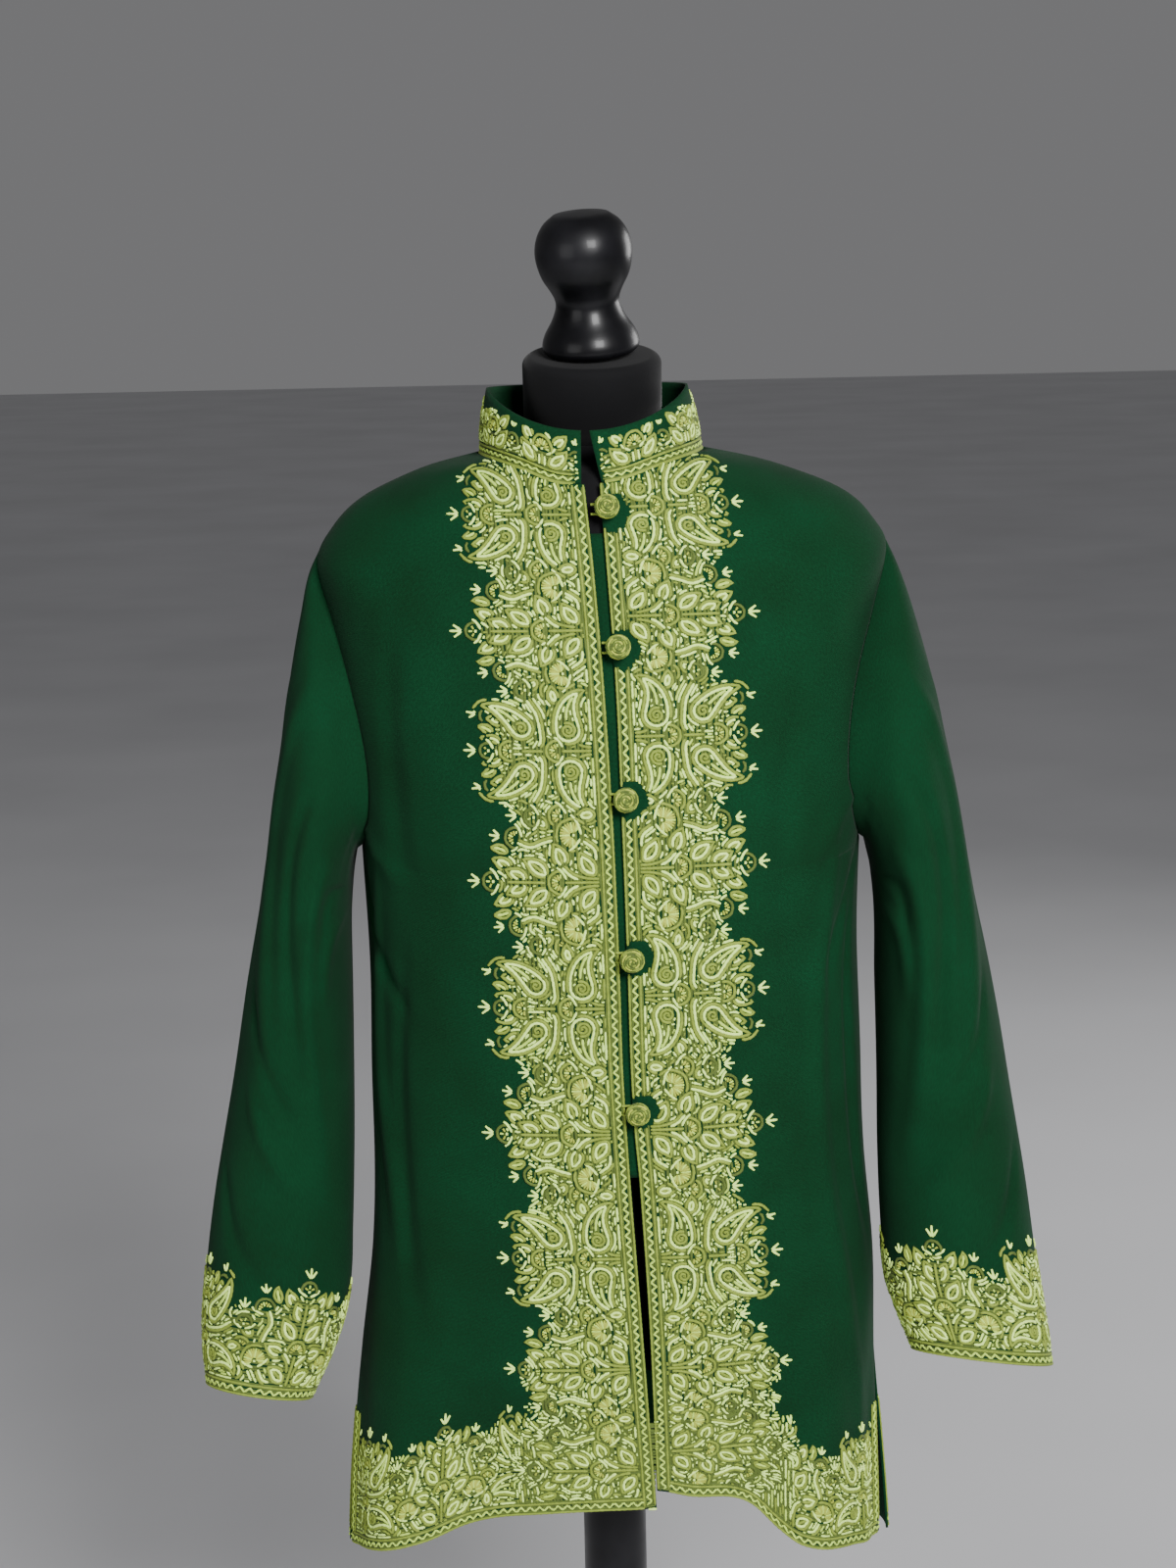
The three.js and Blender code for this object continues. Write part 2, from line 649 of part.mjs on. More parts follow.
// Cord loop that comes off the left front and passes round the shank, under the ball.
function loopPiece(z) {
  const { cordRadius, inner, reach, lift, sides, bendSteps } = LOOP;
  const path = [new THREE.Vector3(-reach, lift, -inner)];
  for (let i = 0; i <= bendSteps; i += 1) {
    const turn = -Math.PI / 2 + Math.PI * i / bendSteps;
    path.push(new THREE.Vector3(inner * Math.cos(turn), lift, inner * Math.sin(turn)));
  }
  path.push(new THREE.Vector3(-reach, lift, inner));
  const rings = path.map((point, i) => {
    const along = path[Math.min(path.length - 1, i + 1)].clone().sub(path[Math.max(0, i - 1)]).normalize();
    const rise = new THREE.Vector3(0, 1, 0);
    const across = along.clone().cross(rise);
    return Array.from({ length: sides }, (_, k) => {
      const turn = 2 * Math.PI * k / sides;
      return point.clone().addScaledVector(across, cordRadius * Math.cos(turn))
        .addScaledVector(rise, cordRadius * (1 + Math.sin(turn)));
    });
  });
  return stack(rings).applyMatrix4(buttonSeat(z));
}

// Frame at the top of the form's shoulders: local Y runs up the tilted neck.
function neckFrame(along) {
  const axis = new THREE.Vector3(0, -Math.sin(radians(FORM.neckTilt)), Math.cos(radians(FORM.neckTilt)));
  const right = new THREE.Vector3(1, 0, 0);
  const origin = new THREE.Vector3(0, FORM.neckY, FORM.neckZ).addScaledVector(axis, along);
  return new THREE.Matrix4().makeBasis(right, axis, right.clone().cross(axis)).setPosition(origin);
}

function torsoPiece() {
  const still = { folds: false };
  const turn = (i) => 360 * i / FORM_POINTS - 180;
  const heights = [...FORM_ROWS];
  for (let i = 0; i <= SHOULDER_ROWS; i += 1) heights.push(lerp(SHOULDER_POINT, FRONT_NECK, i / SHOULDER_ROWS));
  heights.push(...NECK_HEIGHTS);
  const rings = heights.map((z) => Array.from({ length: FORM_POINTS }, (_, i) => {
    const chest = FORM.chestEase * Math.max(0, -Math.sin(radians(turn(i)))) ** 3;
    const ease = sample(FORM_EASE, "z", "ease", z) + chest;
    return bodyPoint(turn(i), z, still).addScaledVector(bodyNormal(turn(i), z, still), -ease);
  }));
  for (const point of rings[0]) point.z = FORM.bottom;
  const frame = neckFrame(0);
  for (const { wider, drop } of FORM.neckRings) {
    const radius = FORM.neckRadius + wider;
    rings.push(Array.from({ length: FORM_POINTS }, (_, i) => {
      const a = radians(turn(i));
      return new THREE.Vector3(radius * Math.cos(a), -drop, -radius * Math.sin(a)).applyMatrix4(frame);
    }));
  }
  return stack(rings);
}

function neckBlockPiece() {
  const { neckRadius, neckHeight } = FORM;
  const { edge, footInset, headInset } = NECK_BLOCK;
  const head = neckRadius - headInset;
  const profile = [[0, 0], [neckRadius - footInset, 0], [head, neckHeight - edge]];
  for (const degrees of EDGE_DEGREES) {
    const a = radians(degrees);
    profile.push([head - edge * (1 - Math.cos(a)), neckHeight - edge * (1 - Math.sin(a))]);
  }
  profile.push([0, neckHeight]);
  return lathe(profile, FORM_POINTS).applyMatrix4(neckFrame(SEAM_GAP));
}

function finialPiece() {
  const lean = radians(FINIAL_LEAN);
  const rise = FINIAL_PROFILE[1][0] * Math.sin(lean) + 2 * SEAM_GAP;
  return lathe(FINIAL_PROFILE, ROUND_STEPS).rotateZ(lean).applyMatrix4(neckFrame(FORM.neckHeight + rise));
}

function polePiece() {
  const low = BASE.thickness + SEAM_GAP;
  const high = FORM.bottom - SEAM_GAP;
  const profile = [[0, low], [POLE_RADIUS, low], [POLE_RADIUS, high], [0, high]];
  return lathe(profile, ROUND_STEPS).rotateX(Math.PI / 2);
}

function basePiece() {
  const { radius, thickness, edge } = BASE;
  const profile = [[0, 0], [radius, 0], [radius, thickness - edge]];
  for (const degrees of EDGE_DEGREES) {
    const a = radians(degrees);
    profile.push([radius - edge * (1 - Math.cos(a)), thickness - edge * (1 - Math.sin(a))]);
  }
  profile.push([0, thickness]);
  return lathe(profile, BASE_STEPS).rotateX(Math.PI / 2);
}

function named(name, geometry, finish) {
  const flat = geometry.toNonIndexed();
  flat.computeVertexNormals();
  const mesh = new THREE.Mesh(flat, new THREE.MeshStandardMaterial(finish));
  mesh.name = name;
  return mesh;
}

const group = new THREE.Group();
group.name = "jacket_on_form";
group.add(named("front_right", frontPiece(-1), GREEN));
group.add(named("front_left", frontPiece(1), GREEN));
group.add(named("back", backPiece(), GREEN));
group.add(named("sleeve_right", sleevePiece(-1), GREEN));
group.add(named("sleeve_left", sleevePiece(1), GREEN));
group.add(named("collar", collarPiece(), GREEN));
group.add(named("underlap", underlapPiece(), GREEN));
BUTTON_HEIGHTS.forEach((z, i) => {
  group.add(named(`button_${i + 1}`, buttonPiece(z), OLIVE));
  group.add(named(`button_loop_${i + 1}`, loopPiece(z), OLIVE));
});
group.add(named("torso", torsoPiece(), BLACK_JERSEY));
group.add(named("neck_block", neckBlockPiece(), BLACK_JERSEY));
group.add(named("finial", finialPiece(), BLACK_GLOSS));
group.add(named("pole", polePiece(), BLACK_GLOSS));
group.add(named("base", basePiece(), BLACK_GLOSS));

export default group;
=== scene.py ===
"""Green woollen jacket with chain-stitched borders on a dress form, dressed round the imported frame."""

import itertools
import logging
import math
from collections.abc import Iterator
from dataclasses import dataclass, field
from enum import Enum

import bmesh
import bpy
import numpy as np
from mathutils import Matrix, Vector

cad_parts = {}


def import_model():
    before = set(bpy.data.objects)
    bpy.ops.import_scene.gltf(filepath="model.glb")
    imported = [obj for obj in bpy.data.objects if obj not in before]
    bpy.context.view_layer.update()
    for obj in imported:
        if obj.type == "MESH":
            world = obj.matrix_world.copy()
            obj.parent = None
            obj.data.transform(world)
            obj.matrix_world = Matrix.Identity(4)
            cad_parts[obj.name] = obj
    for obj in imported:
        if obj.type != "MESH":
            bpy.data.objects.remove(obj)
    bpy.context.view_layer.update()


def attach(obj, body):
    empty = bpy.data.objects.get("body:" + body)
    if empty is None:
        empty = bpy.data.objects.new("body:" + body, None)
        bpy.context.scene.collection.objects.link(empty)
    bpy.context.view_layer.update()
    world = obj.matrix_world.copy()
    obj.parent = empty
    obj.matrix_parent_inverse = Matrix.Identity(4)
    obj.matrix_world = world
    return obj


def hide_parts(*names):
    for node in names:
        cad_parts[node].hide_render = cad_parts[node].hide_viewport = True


LOG = logging.getLogger("jacket")
MM = 0.001
BODY = "root"
Array = np.ndarray


class Slot(Enum):
    """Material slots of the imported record."""

    WOOL = "green_wool"
    THREAD = "embroidery_thread"
    JERSEY = "form_jersey"
    LACQUER = "black_lacquer"


class Side(Enum):
    """Side of the jacket as the viewer sees it. The value is the sign of x."""

    LEFT = -1
    RIGHT = 1


class Shade(Enum):
    """Thread shades, in the order of the material slots of an embroidery piece."""

    PALE = 0
    LIGHT = 1
    OLIVE = 2
    DARK = 3
    GOLD = 4


def smooth(share: Array | float) -> Array:
    """Ease a share from 0 to 1, clamped at both ends."""
    s = np.clip(share, 0.0, 1.0)
    return s * s * (3 - 2 * s)


def lerp(a: Array | float, b: Array | float, t: Array | float) -> Array:
    """Blend from a to b by t."""
    return a + (b - a) * t


def signed_power(value: Array, power: Array | float) -> Array:
    """Raise the size of a value to a power and keep its sign."""
    return np.sign(value) * np.abs(value) ** power


def unit(vectors: Array) -> Array:
    """Scale vectors in the last axis to length one."""
    return vectors / np.maximum(np.linalg.norm(vectors, axis=-1, keepdims=True), 1e-9)


@dataclass(frozen=True)
class Table:
    """Rows of numbers read as smooth curves against their first column."""

    rows: tuple[tuple[float, ...], ...]

    def read(self, column: int, at: Array | float) -> Array:
        """Read one column.

        Args:
            column: Index of the column.
            at: Places in the first column, held inside its range.

        Returns:
            The smooth values there.
        """
        data = np.array(self.rows, float)
        keys, values = data[:, 0], data[:, column]
        slopes = np.empty_like(values)
        slopes[1:-1] = (values[2:] - values[:-2]) / (keys[2:] - keys[:-2])
        slopes[0] = (values[1] - values[0]) / (keys[1] - keys[0])
        slopes[-1] = (values[-1] - values[-2]) / (keys[-1] - keys[-2])
        at = np.asarray(at, float)
        i = np.clip(np.searchsorted(keys, at, side="right") - 1, 0, len(keys) - 2)
        span = keys[i + 1] - keys[i]
        t = np.clip((at - keys[i]) / span, 0.0, 1.0)
        h = 1 - t
        ends = values[i] * h * h * (1 + 2 * t) + values[i + 1] * t * t * (3 - 2 * t)
        return ends + span * t * h * (slopes[i] * h - slopes[i + 1] * t)


@dataclass(frozen=True)
class Crease:
    """One soft ridge or trough along a line between two places of the cloth."""

    start: tuple[float, float]
    end: tuple[float, float]
    half_width: float
    push: float

    def height(self, a: Array, b: Array, scale: tuple[float, float]) -> Array:
        """Push of the crease.

        Args:
            a: First coordinate of the places.
            b: Second coordinate of the places.
            scale: Millimetres per unit of each coordinate.

        Returns:
            Push in millimetres, outward where positive.
        """
        sa, sb = scale
        ax, ay = self.start[0] * sa, self.start[1] * sb
        dx, dy = self.end[0] * sa - ax, self.end[1] * sb - ay
        length = math.hypot(dx, dy)
        px, py = a * sa - ax, b * sb - ay
        along = (px * dx + py * dy) / (length * length)
        bow = 0.08 * length * np.sin(np.pi * np.clip(along, 0, 1))
        across = (px * dy - py * dx) / length - bow
        fade = smooth((along + 0.15) / 0.4) * smooth((1.15 - along) / 0.4)
        width = self.half_width * (1.0 + 0.6 * np.clip(along, 0, 1))
        return self.push * smooth(1 - np.abs(across) / width) * fade


@dataclass(frozen=True)
class Body:
    """Surface of the jacket's body, in millimetres, by angle and height. The front is at -90 degrees."""

    sections: Table = Table((
        (560, 0, 204, 68, 120, 2.5), (630, 1, 201, 76, 116, 2.5), (720, 5, 195, 92, 109, 2.5),
        (800, 9, 189, 105, 101, 2.5), (880, 9, 183, 115, 93, 2.45), (960, 8, 181, 124, 87, 2.4),
        (1040, 7, 179, 132, 87, 2.4), (1117, 7, 181, 137, 92, 2.4), (1180, 6, 183, 135, 97, 2.4),
        (1240, 4, 189, 127, 99, 2.4), (1290, 4, 197, 117, 99, 2.35), (1322, 4, 204, 110, 97, 2.2),
        (1335, 5, 203, 107, 95, 2.05), (1348, 5, 195, 102, 92, 1.9), (1362, 5, 183, 97, 89, 1.8),
        (1373, 4, 167, 93, 85, 1.7), (1384, 2, 142, 88, 80, 1.65), (1393, 0, 116, 82, 75, 1.75),
        (1401, -2, 80, 72, 70, 1.9)))
    folds: tuple[tuple[float, ...], ...] = (
        (-47, 20, 13, 565, 930), (-66, 14, -7, 565, 860), (-139, 20, 9, 565, 900),
        (-117, 16, -6, 565, 840), (-12, 15, -5, 565, 900), (-168, 15, -4, 565, 900),
        (38, 18, 8, 565, 980), (66, 16, -6, 565, 930), (94, 18, 8, 565, 1000),
        (121, 16, -6, 565, 930), (146, 17, 7, 565, 960))
    creases: tuple[Crease, ...] = (
        Crease((-33, 1120), (-27, 700), 15, 3.2), Crease((-19, 1085), (-15, 820), 11, -3.0),
        Crease((-9, 1120), (-36, 1030), 8, -2.4), Crease((-12, 1165), (-42, 1120), 9, 2.0),
        Crease((-48, 1240), (-44, 1000), 17, -1.8),
        Crease((-156, 1110), (-148, 830), 13, 2.8), Crease((-170, 1105), (-142, 1010), 8, -2.6),
        Crease((-166, 1150), (-138, 1105), 9, 1.8), Crease((-143, 1050), (-135, 760), 14, -2.2),
        Crease((-134, 1290), (-140, 1090), 16, -1.6),
        Crease((18, 1095), (27, 800), 13, 3.0), Crease((12, 1120), (44, 1040), 9, -2.6),
        Crease((40, 1180), (58, 900), 15, -2.4), Crease((74, 1330), (80, 1120), 16, -2.0),
        Crease((104, 1310), (97, 1080), 15, 1.9), Crease((128, 1170), (117, 860), 14, -2.5),
        Crease((168, 1115), (138, 1030), 9, -2.6), Crease((161, 1090), (151, 790), 13, 3.0),
        Crease((60, 985), (116, 972), 8, -1.7), Crease((70, 950), (122, 940), 8, 1.4))
    crease_scale: tuple[float, float] = (3.0, 1.0)
    crease_depth: float = 1.3
    ripple: float = 0.45

    def section(self, z: Array) -> tuple[Array, ...]:
        """Middle, half width, depth of the front and of the back, and squareness at a height."""
        return tuple(self.sections.read(k, z) for k in range(1, 6))

    def push(self, degrees: Array, z: Array) -> Array:
        """Outward push of folds, creases and slight unevenness at places of the body."""
        total = np.zeros(np.broadcast(degrees, z).shape)
        for angle, spread, push, foot, top in self.folds:
            away = np.abs(degrees - angle)
            away = np.where(away > 180, 360 - away, away)
            total = total + push * smooth(1 - away / spread) * smooth((top - z) / (top - foot))
        for crease in self.creases:
            total = total + self.crease_depth * crease.height(degrees, z, self.crease_scale)
        wave = np.sin(degrees * 0.21 + z * 0.013) + np.sin(degrees * 0.09 - z * 0.031 + 1.7)
        calm = smooth((1320 - z) / 60) * smooth(np.abs(degrees + 90) / 14)
        return total + self.ripple * wave * calm

    def point(self, degrees: Array, z: Array, extra: Array | float = 0.0, folds: bool = True) -> Array:
        """Point of the middle surface.

        Args:
            degrees: Angles round the body.
            z: Heights.
            extra: Push outward, added to the folds.
            folds: Whether the folds and creases count.

        Returns:
            Points in the last axis.
        """
        degrees, z = np.broadcast_arrays(np.asarray(degrees, float), np.asarray(z, float))
        cx, half, front, back, square = self.section(z)
        c, s = np.cos(np.radians(degrees)), np.sin(np.radians(degrees))
        power = 2 / square
        depth = np.where(s < 0, front, back)
        outward = unit(np.stack([signed_power(c, 2 - power) / half, signed_power(s, 2 - power) / depth], -1))
        push = (self.push(degrees, z) if folds else 0.0) + extra
        x = cx + half * signed_power(c, power) + outward[..., 0] * push
        y = depth * signed_power(s, power) + outward[..., 1] * push
        return np.stack([x, y, z], -1)

    def normal(self, degrees: Array, z: Array, extra: Array | float = 0.0, folds: bool = True) -> Array:
        """Outward normals of the middle surface at angles and heights."""
        step = 0.5
        along = self.point(degrees + step, z, extra, folds) - self.point(degrees - step, z, extra, folds)
        upward = self.point(degrees, z + step, extra, folds) - self.point(degrees, z - step, extra, folds)
        normal = unit(np.cross(along, upward))
        here = self.point(degrees, z, extra, folds)
        facing = normal[..., 0] * (here[..., 0] - self.sections.read(1, z)) + normal[..., 1] * here[..., 1]
        turn = np.where(facing + normal[..., 2] * 1.8 < 0, -1.0, 1.0)
        return normal * turn[..., None]

    def front_angle(self, x: Array, z: Array) -> Array:
        """Angle of the front's point at x and height z."""
        cx, half, _, _, square = self.section(z)
        return -np.degrees(np.arccos(np.clip(signed_power((x - cx) / half, square / 2), -1, 1)))


@dataclass(frozen=True)
class Neckline:
    """Oval of the neck seam, dropped on the shoulders."""

    body: Body = Body()
    cx: float = -2
    half: float = 80
    front: float = 88
    back: float = 70
    low: float = 1364
    high: float = 1401
    halvings: int = 40

    def at(self, degrees: Array, inset: float = 0.0) -> tuple[Array, Array]:
        """Place on the neck seam.

        Args:
            degrees: Angles round the oval.
            inset: How far the oval is drawn in.

        Returns:
            The points, and their angles on the body's sections.
        """
        degrees = np.asarray(degrees, float)
        c, s = np.cos(np.radians(degrees)), np.sin(np.radians(degrees))
        x = self.cx + (self.half - inset) * c
        y = (np.where(s < 0, self.front, self.back) - inset) * s
        low, high = np.full(x.shape, self.low), np.full(x.shape, self.high)
        for _ in range(self.halvings):
            z = (low + high) / 2
            cx, half, front, back, square = self.body.section(z)
            depth = np.where(y < 0, front, back)
            inside = np.abs((x - cx) / half) ** square + np.abs(y / depth) ** square < 1
            low, high = np.where(inside, z, low), np.where(inside, high, z)
        cx, half, front, back, square = self.body.section(low)
        depth = np.where(y < 0, front, back)
        rise, run = signed_power(y / depth, square / 2), signed_power((x - cx) / half, square / 2)
        return np.stack([x, y, low], -1), np.degrees(np.arctan2(rise, run))

    def angle_at(self, z: Array, side: Side) -> Array:
        """Angle on the section at height z where the front's neck seam crosses it."""
        turns = np.linspace(0, 90, 361)
        points, angles = self.at(-90 + side.value * turns)
        angles = np.where(angles > 0, angles - 360, angles)
        return np.interp(z, points[:, 2], angles)


@dataclass(frozen=True)
class Armhole:
    """Rounded loop on the body where a sleeve is set in."""

    front_degrees: float = 22
    back_degrees: float = 24
    low_fullness: float = 0.5
    degrees_per_mm: float = 0.4
    inset_power: int = 3
    top_inset: float = 1.0
    underarm_inset: float = 2.8
    shoulder: float = 1335
    underarm: float = 1117

    def degrees(self, phi: Array, widest: Array | float) -> Array:
        """Half opening from the side, in degrees, at the loop angle phi."""
        return widest * np.sin(phi) * (1 - self.low_fullness * np.cos(phi))

    def height(self, phi: Array, inset: Array | float = 0.0) -> Array:
        """Height at the loop angle phi, 0 at the shoulder."""
        middle = (self.shoulder + self.underarm) / 2
        return middle + ((self.shoulder - self.underarm) / 2 - inset) * np.cos(phi)


class Mesher:
    """Turns grids of points into Blender meshes."""

    @staticmethod
    def lengths(points: Array, axis: int) -> Array:
        """Running length of a grid of points along one axis, from zero."""
        steps = np.linalg.norm(np.diff(points, axis=axis), axis=-1)
        return np.concatenate([np.zeros_like(np.take(steps, [0], axis)), np.cumsum(steps, axis)], axis)

    @staticmethod
    def grid(name: str, points: Array, closed: bool = False, cap: bool = False) -> bpy.types.Object:
        """Make a smooth grid mesh through points.

        Args:
            name: Name of the piece.
            points: Rows and columns of points in millimetres. A closed grid repeats its first column.
            closed: Whether the last column joins the first.
            cap: Whether open ends are filled.

        Returns:
            The object, with a UV map in millimetres of cloth.
        """
        rows, cols = points.shape[:2]
        across, up = Mesher.lengths(points, 1), Mesher.lengths(points, 0)
        bm = bmesh.new()
        layer = bm.loops.layers.uv.new("UVMap")
        bmesh.ops.create_grid(bm, x_segments=cols - 1, y_segments=rows - 1, size=0.5)
        for vert in bm.verts:
            c = round((vert.co.x + 0.5) * (cols - 1))
            r = round((vert.co.y + 0.5) * (rows - 1))
            for loop in vert.link_loops:
                loop[layer].uv = (across[r, c], up[r, c])
            vert.co = Vector(points[r, c] * MM)
        if closed:
            bmesh.ops.remove_doubles(bm, verts=bm.verts, dist=1e-6)
        if cap:
            bmesh.ops.holes_fill(bm, edges=[e for e in bm.edges if e.is_boundary], sides=0)
        bmesh.ops.recalc_face_normals(bm, faces=bm.faces)
        return Mesher.finish(name, bm)

    @staticmethod
    def finish(name: str, bm: bmesh.types.BMesh) -> bpy.types.Object:
        """Write a bmesh to a smooth object that rides on the body."""
        for face in bm.faces:
            face.smooth = True
        mesh = bpy.data.meshes.new(name)
        bm.to_mesh(mesh)
        bm.free()
        piece = bpy.data.objects.new(name, mesh)
        bpy.context.scene.collection.objects.link(piece)
        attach(piece, BODY)
        return piece

    @staticmethod
    def spun(name: str, profile: Array, steps: int, frame: Matrix) -> bpy.types.Object:
        """Spin a profile of radius and height round local Z.

        Args:
            name: Name of the piece.
            profile: Radius and height in millimetres, from axis to axis.
            steps: Steps in the full turn.
            frame: Place of the local axes, in millimetres.

        Returns:
            The object.
        """
        bm = bmesh.new()
        verts = [bm.verts.new((r * MM, 0, h * MM)) for r, h in profile]
        edges = [bm.edges.new(pair) for pair in zip(verts, verts[1:])]
        bmesh.ops.spin(bm, geom=verts + edges, cent=(0, 0, 0), axis=(0, 0, 1), dvec=(0, 0, 0),
                       angle=math.tau, steps=steps, use_merge=True, use_duplicate=False)
        bmesh.ops.remove_doubles(bm, verts=bm.verts, dist=1e-6)
        place = Matrix.Diagonal((MM, MM, MM, 1)) @ frame @ Matrix.Diagonal((1 / MM, 1 / MM, 1 / MM, 1))
        bmesh.ops.transform(bm, matrix=place, verts=bm.verts)
        bmesh.ops.recalc_face_normals(bm, faces=bm.faces)
        return Mesher.finish(name, bm)


def linear(hex_colour: str) -> tuple[float, float, float, float]:
    """Turn an sRGB hex colour to linear values with an alpha of one."""
    channels = [int(hex_colour[i:i + 2], 16) / 255 for i in (1, 3, 5)]
    return (*[c / 12.92 if c <= 0.04045 else ((c + 0.055) / 1.055) ** 2.4 for c in channels], 1.0)


def node(tree: bpy.types.NodeTree, kind: str, settings: dict | None = None,
         **links: object) -> bpy.types.Node:
    """Add a node with its settings and links.

    Args:
        tree: Node tree to add to.
        kind: Blender's name of the node type.
        settings: Attributes by name, and values of inputs by index or label.
        links: Sockets to link, by input name with spaces as underscores.

    Returns:
        The node.
    """
    made = tree.nodes.new(kind)
    for name, value in (settings or {}).items():
        if isinstance(name, str) and hasattr(made, name):
            setattr(made, name, value)
        else:
            made.inputs[name].default_value = value
    for name, socket in links.items():
        key = int(name[1:]) if name[1:].isdigit() else name.replace("_", " ")
        tree.links.new(socket, made.inputs[key])
    return made


@dataclass(frozen=True)
class Finish:
    """A surface finish. Subclasses add what the real material shows."""

    name: str
    colour: str
    roughness: float
    sheen: float = 0.0
    coat: float = 0.0
    ior: float = 1.5
    specular: float = 0.5

    def material(self) -> bpy.types.Material:
        """Make the material with its colour, relief and constants."""
        made = bpy.data.materials.new(self.name)
        made.use_nodes = True
        tree = made.node_tree
        shader = tree.nodes["Principled BSDF"]
        shader.inputs["Roughness"].default_value = self.roughness
        shader.inputs["IOR"].default_value = self.ior
        shader.inputs["Specular IOR Level"].default_value = self.specular
        shader.inputs["Sheen Weight"].default_value = self.sheen
        shader.inputs["Sheen Roughness"].default_value = 0.4
        shader.inputs["Coat Weight"].default_value = self.coat
        shader.inputs["Coat Roughness"].default_value = 0.08
        self.dress(tree, shader)
        return made

    def dress(self, tree: bpy.types.NodeTree, shader: bpy.types.Node) -> None:
        """Add colour and relief nodes to the shader."""
        shader.inputs["Base Color"].default_value = linear(self.colour)

    def join(self, tree: bpy.types.NodeTree, shader: bpy.types.Node, colour: bpy.types.NodeSocket,
             height: bpy.types.NodeSocket, strength: float, depth_mm: float) -> None:
        """Link a colour, and relief of a strength and depth, to the shader."""
        bump = node(tree, "ShaderNodeBump", {"Strength": strength, "Distance": depth_mm * MM}, Height=height)
        tree.links.new(colour, shader.inputs["Base Color"])
        tree.links.new(bump.outputs["Normal"], shader.inputs["Normal"])

    def grain(self, tree: bpy.types.NodeTree, size_mm: float, detail: float) -> bpy.types.NodeSocket:
        """Noise whose patches have a size in millimetres of the piece."""
        place = node(tree, "ShaderNodeTexCoord").outputs["Object"]
        noise = node(tree, "ShaderNodeTexNoise", {"Scale": 1 / MM / size_mm, "Detail": detail}, Vector=place)
        return noise.outputs["Fac"]

    def mottle(self, tree: bpy.types.NodeTree, other: str, size_mm: float,
               detail: float = 3.0) -> bpy.types.NodeSocket:
        """The colour mixed with another in soft patches of a size."""
        noise = self.grain(tree, size_mm, detail)
        spread = node(tree, "ShaderNodeMapRange", {1: 0.3, 2: 0.7}, Value=noise)
        mixed = node(tree, "ShaderNodeMix", {"data_type": "RGBA", 6: linear(self.colour), 7: linear(other)},
                     _0=spread.outputs["Result"])
        return mixed.outputs[2]


@dataclass(frozen=True)
class WoolTwill(Finish):
    """Fine milled wool twill: steep diagonal lines, a soft nap and slightly uneven dye."""

    deep: str = "#052c16"
    line_mm: float = 2.2
    line_degrees: float = 63
    wave_mm: float = 2 / 3.183
    nap_mm: float = 2.4
    fleck_per_mm: float = 0.55

    def dress(self, tree: bpy.types.NodeTree, shader: bpy.types.Node) -> None:
        """Add uneven dye, twill lines drawn coarser than the real half millimetre, and a felted nap."""
        colour = self.mottle(tree, self.deep, 60)
        cloth = node(tree, "ShaderNodeUVMap", {"uv_map": "UVMap"}).outputs["UV"]
        turn = (0, 0, math.radians(self.line_degrees))
        turned = node(tree, "ShaderNodeMapping", {"Rotation": turn}, Vector=cloth)
        wave = {"Scale": self.wave_mm / self.line_mm, "Distortion": 0.6, "Detail": 1.0, "Detail Scale": 0.6}
        lines = node(tree, "ShaderNodeTexWave", wave, Vector=turned.outputs["Vector"])
        nap = node(tree, "ShaderNodeTexNoise", {"Scale": 1 / self.nap_mm, "Detail": 4.0}, Vector=cloth)
        both = node(tree, "ShaderNodeMath", {"operation": "MULTIPLY_ADD", 1: 0.45}, _0=lines.outputs["Fac"],
                    _2=nap.outputs["Fac"])
        fleck = node(tree, "ShaderNodeTexNoise", {"Scale": self.fleck_per_mm, "Detail": 2.0}, Vector=cloth)
        light = node(tree, "ShaderNodeMapRange", {1: 0.3, 2: 0.7, 3: 0.82, 4: 1.2},
                     Value=fleck.outputs["Fac"])
        flecked = node(tree, "ShaderNodeHueSaturation", {"Saturation": 1.0}, Color=colour,
                       Value=light.outputs["Result"])
        self.join(tree, shader, flecked.outputs["Color"], both.outputs[0], 0.4, 0.5)


@dataclass(frozen=True)
class CrewelThread(Finish):
    """Two-ply worsted crewel thread in chain stitch: matt, faintly hairy, each hank dyed unevenly."""

    other: str = "#ffffff"
    ply_mm: float = 1.4

    def dress(self, tree: bpy.types.NodeTree, shader: bpy.types.Node) -> None:
        """Add hank to hank colour change and the small lumps of plied stitches."""
        colour = self.mottle(tree, self.other, 7, 2.0)
        self.join(tree, shader, colour, self.grain(tree, self.ply_mm, 2.0), 0.5, 0.5)


@dataclass(frozen=True)
class FormJersey(Finish):
    """Black knitted cotton jersey stretched over foam: matt, with the fine grain of its loops."""

    deep: str = "#08080a"
    loop_mm: float = 2.0

    def dress(self, tree: bpy.types.NodeTree, shader: bpy.types.Node) -> None:
        """Add the grain of knitted loops, drawn at two millimetres, coarser than the real ones."""
        colour = self.mottle(tree, self.deep, 25)
        self.join(tree, shader, colour, self.grain(tree, self.loop_mm, 2.0), 0.3, 0.4)


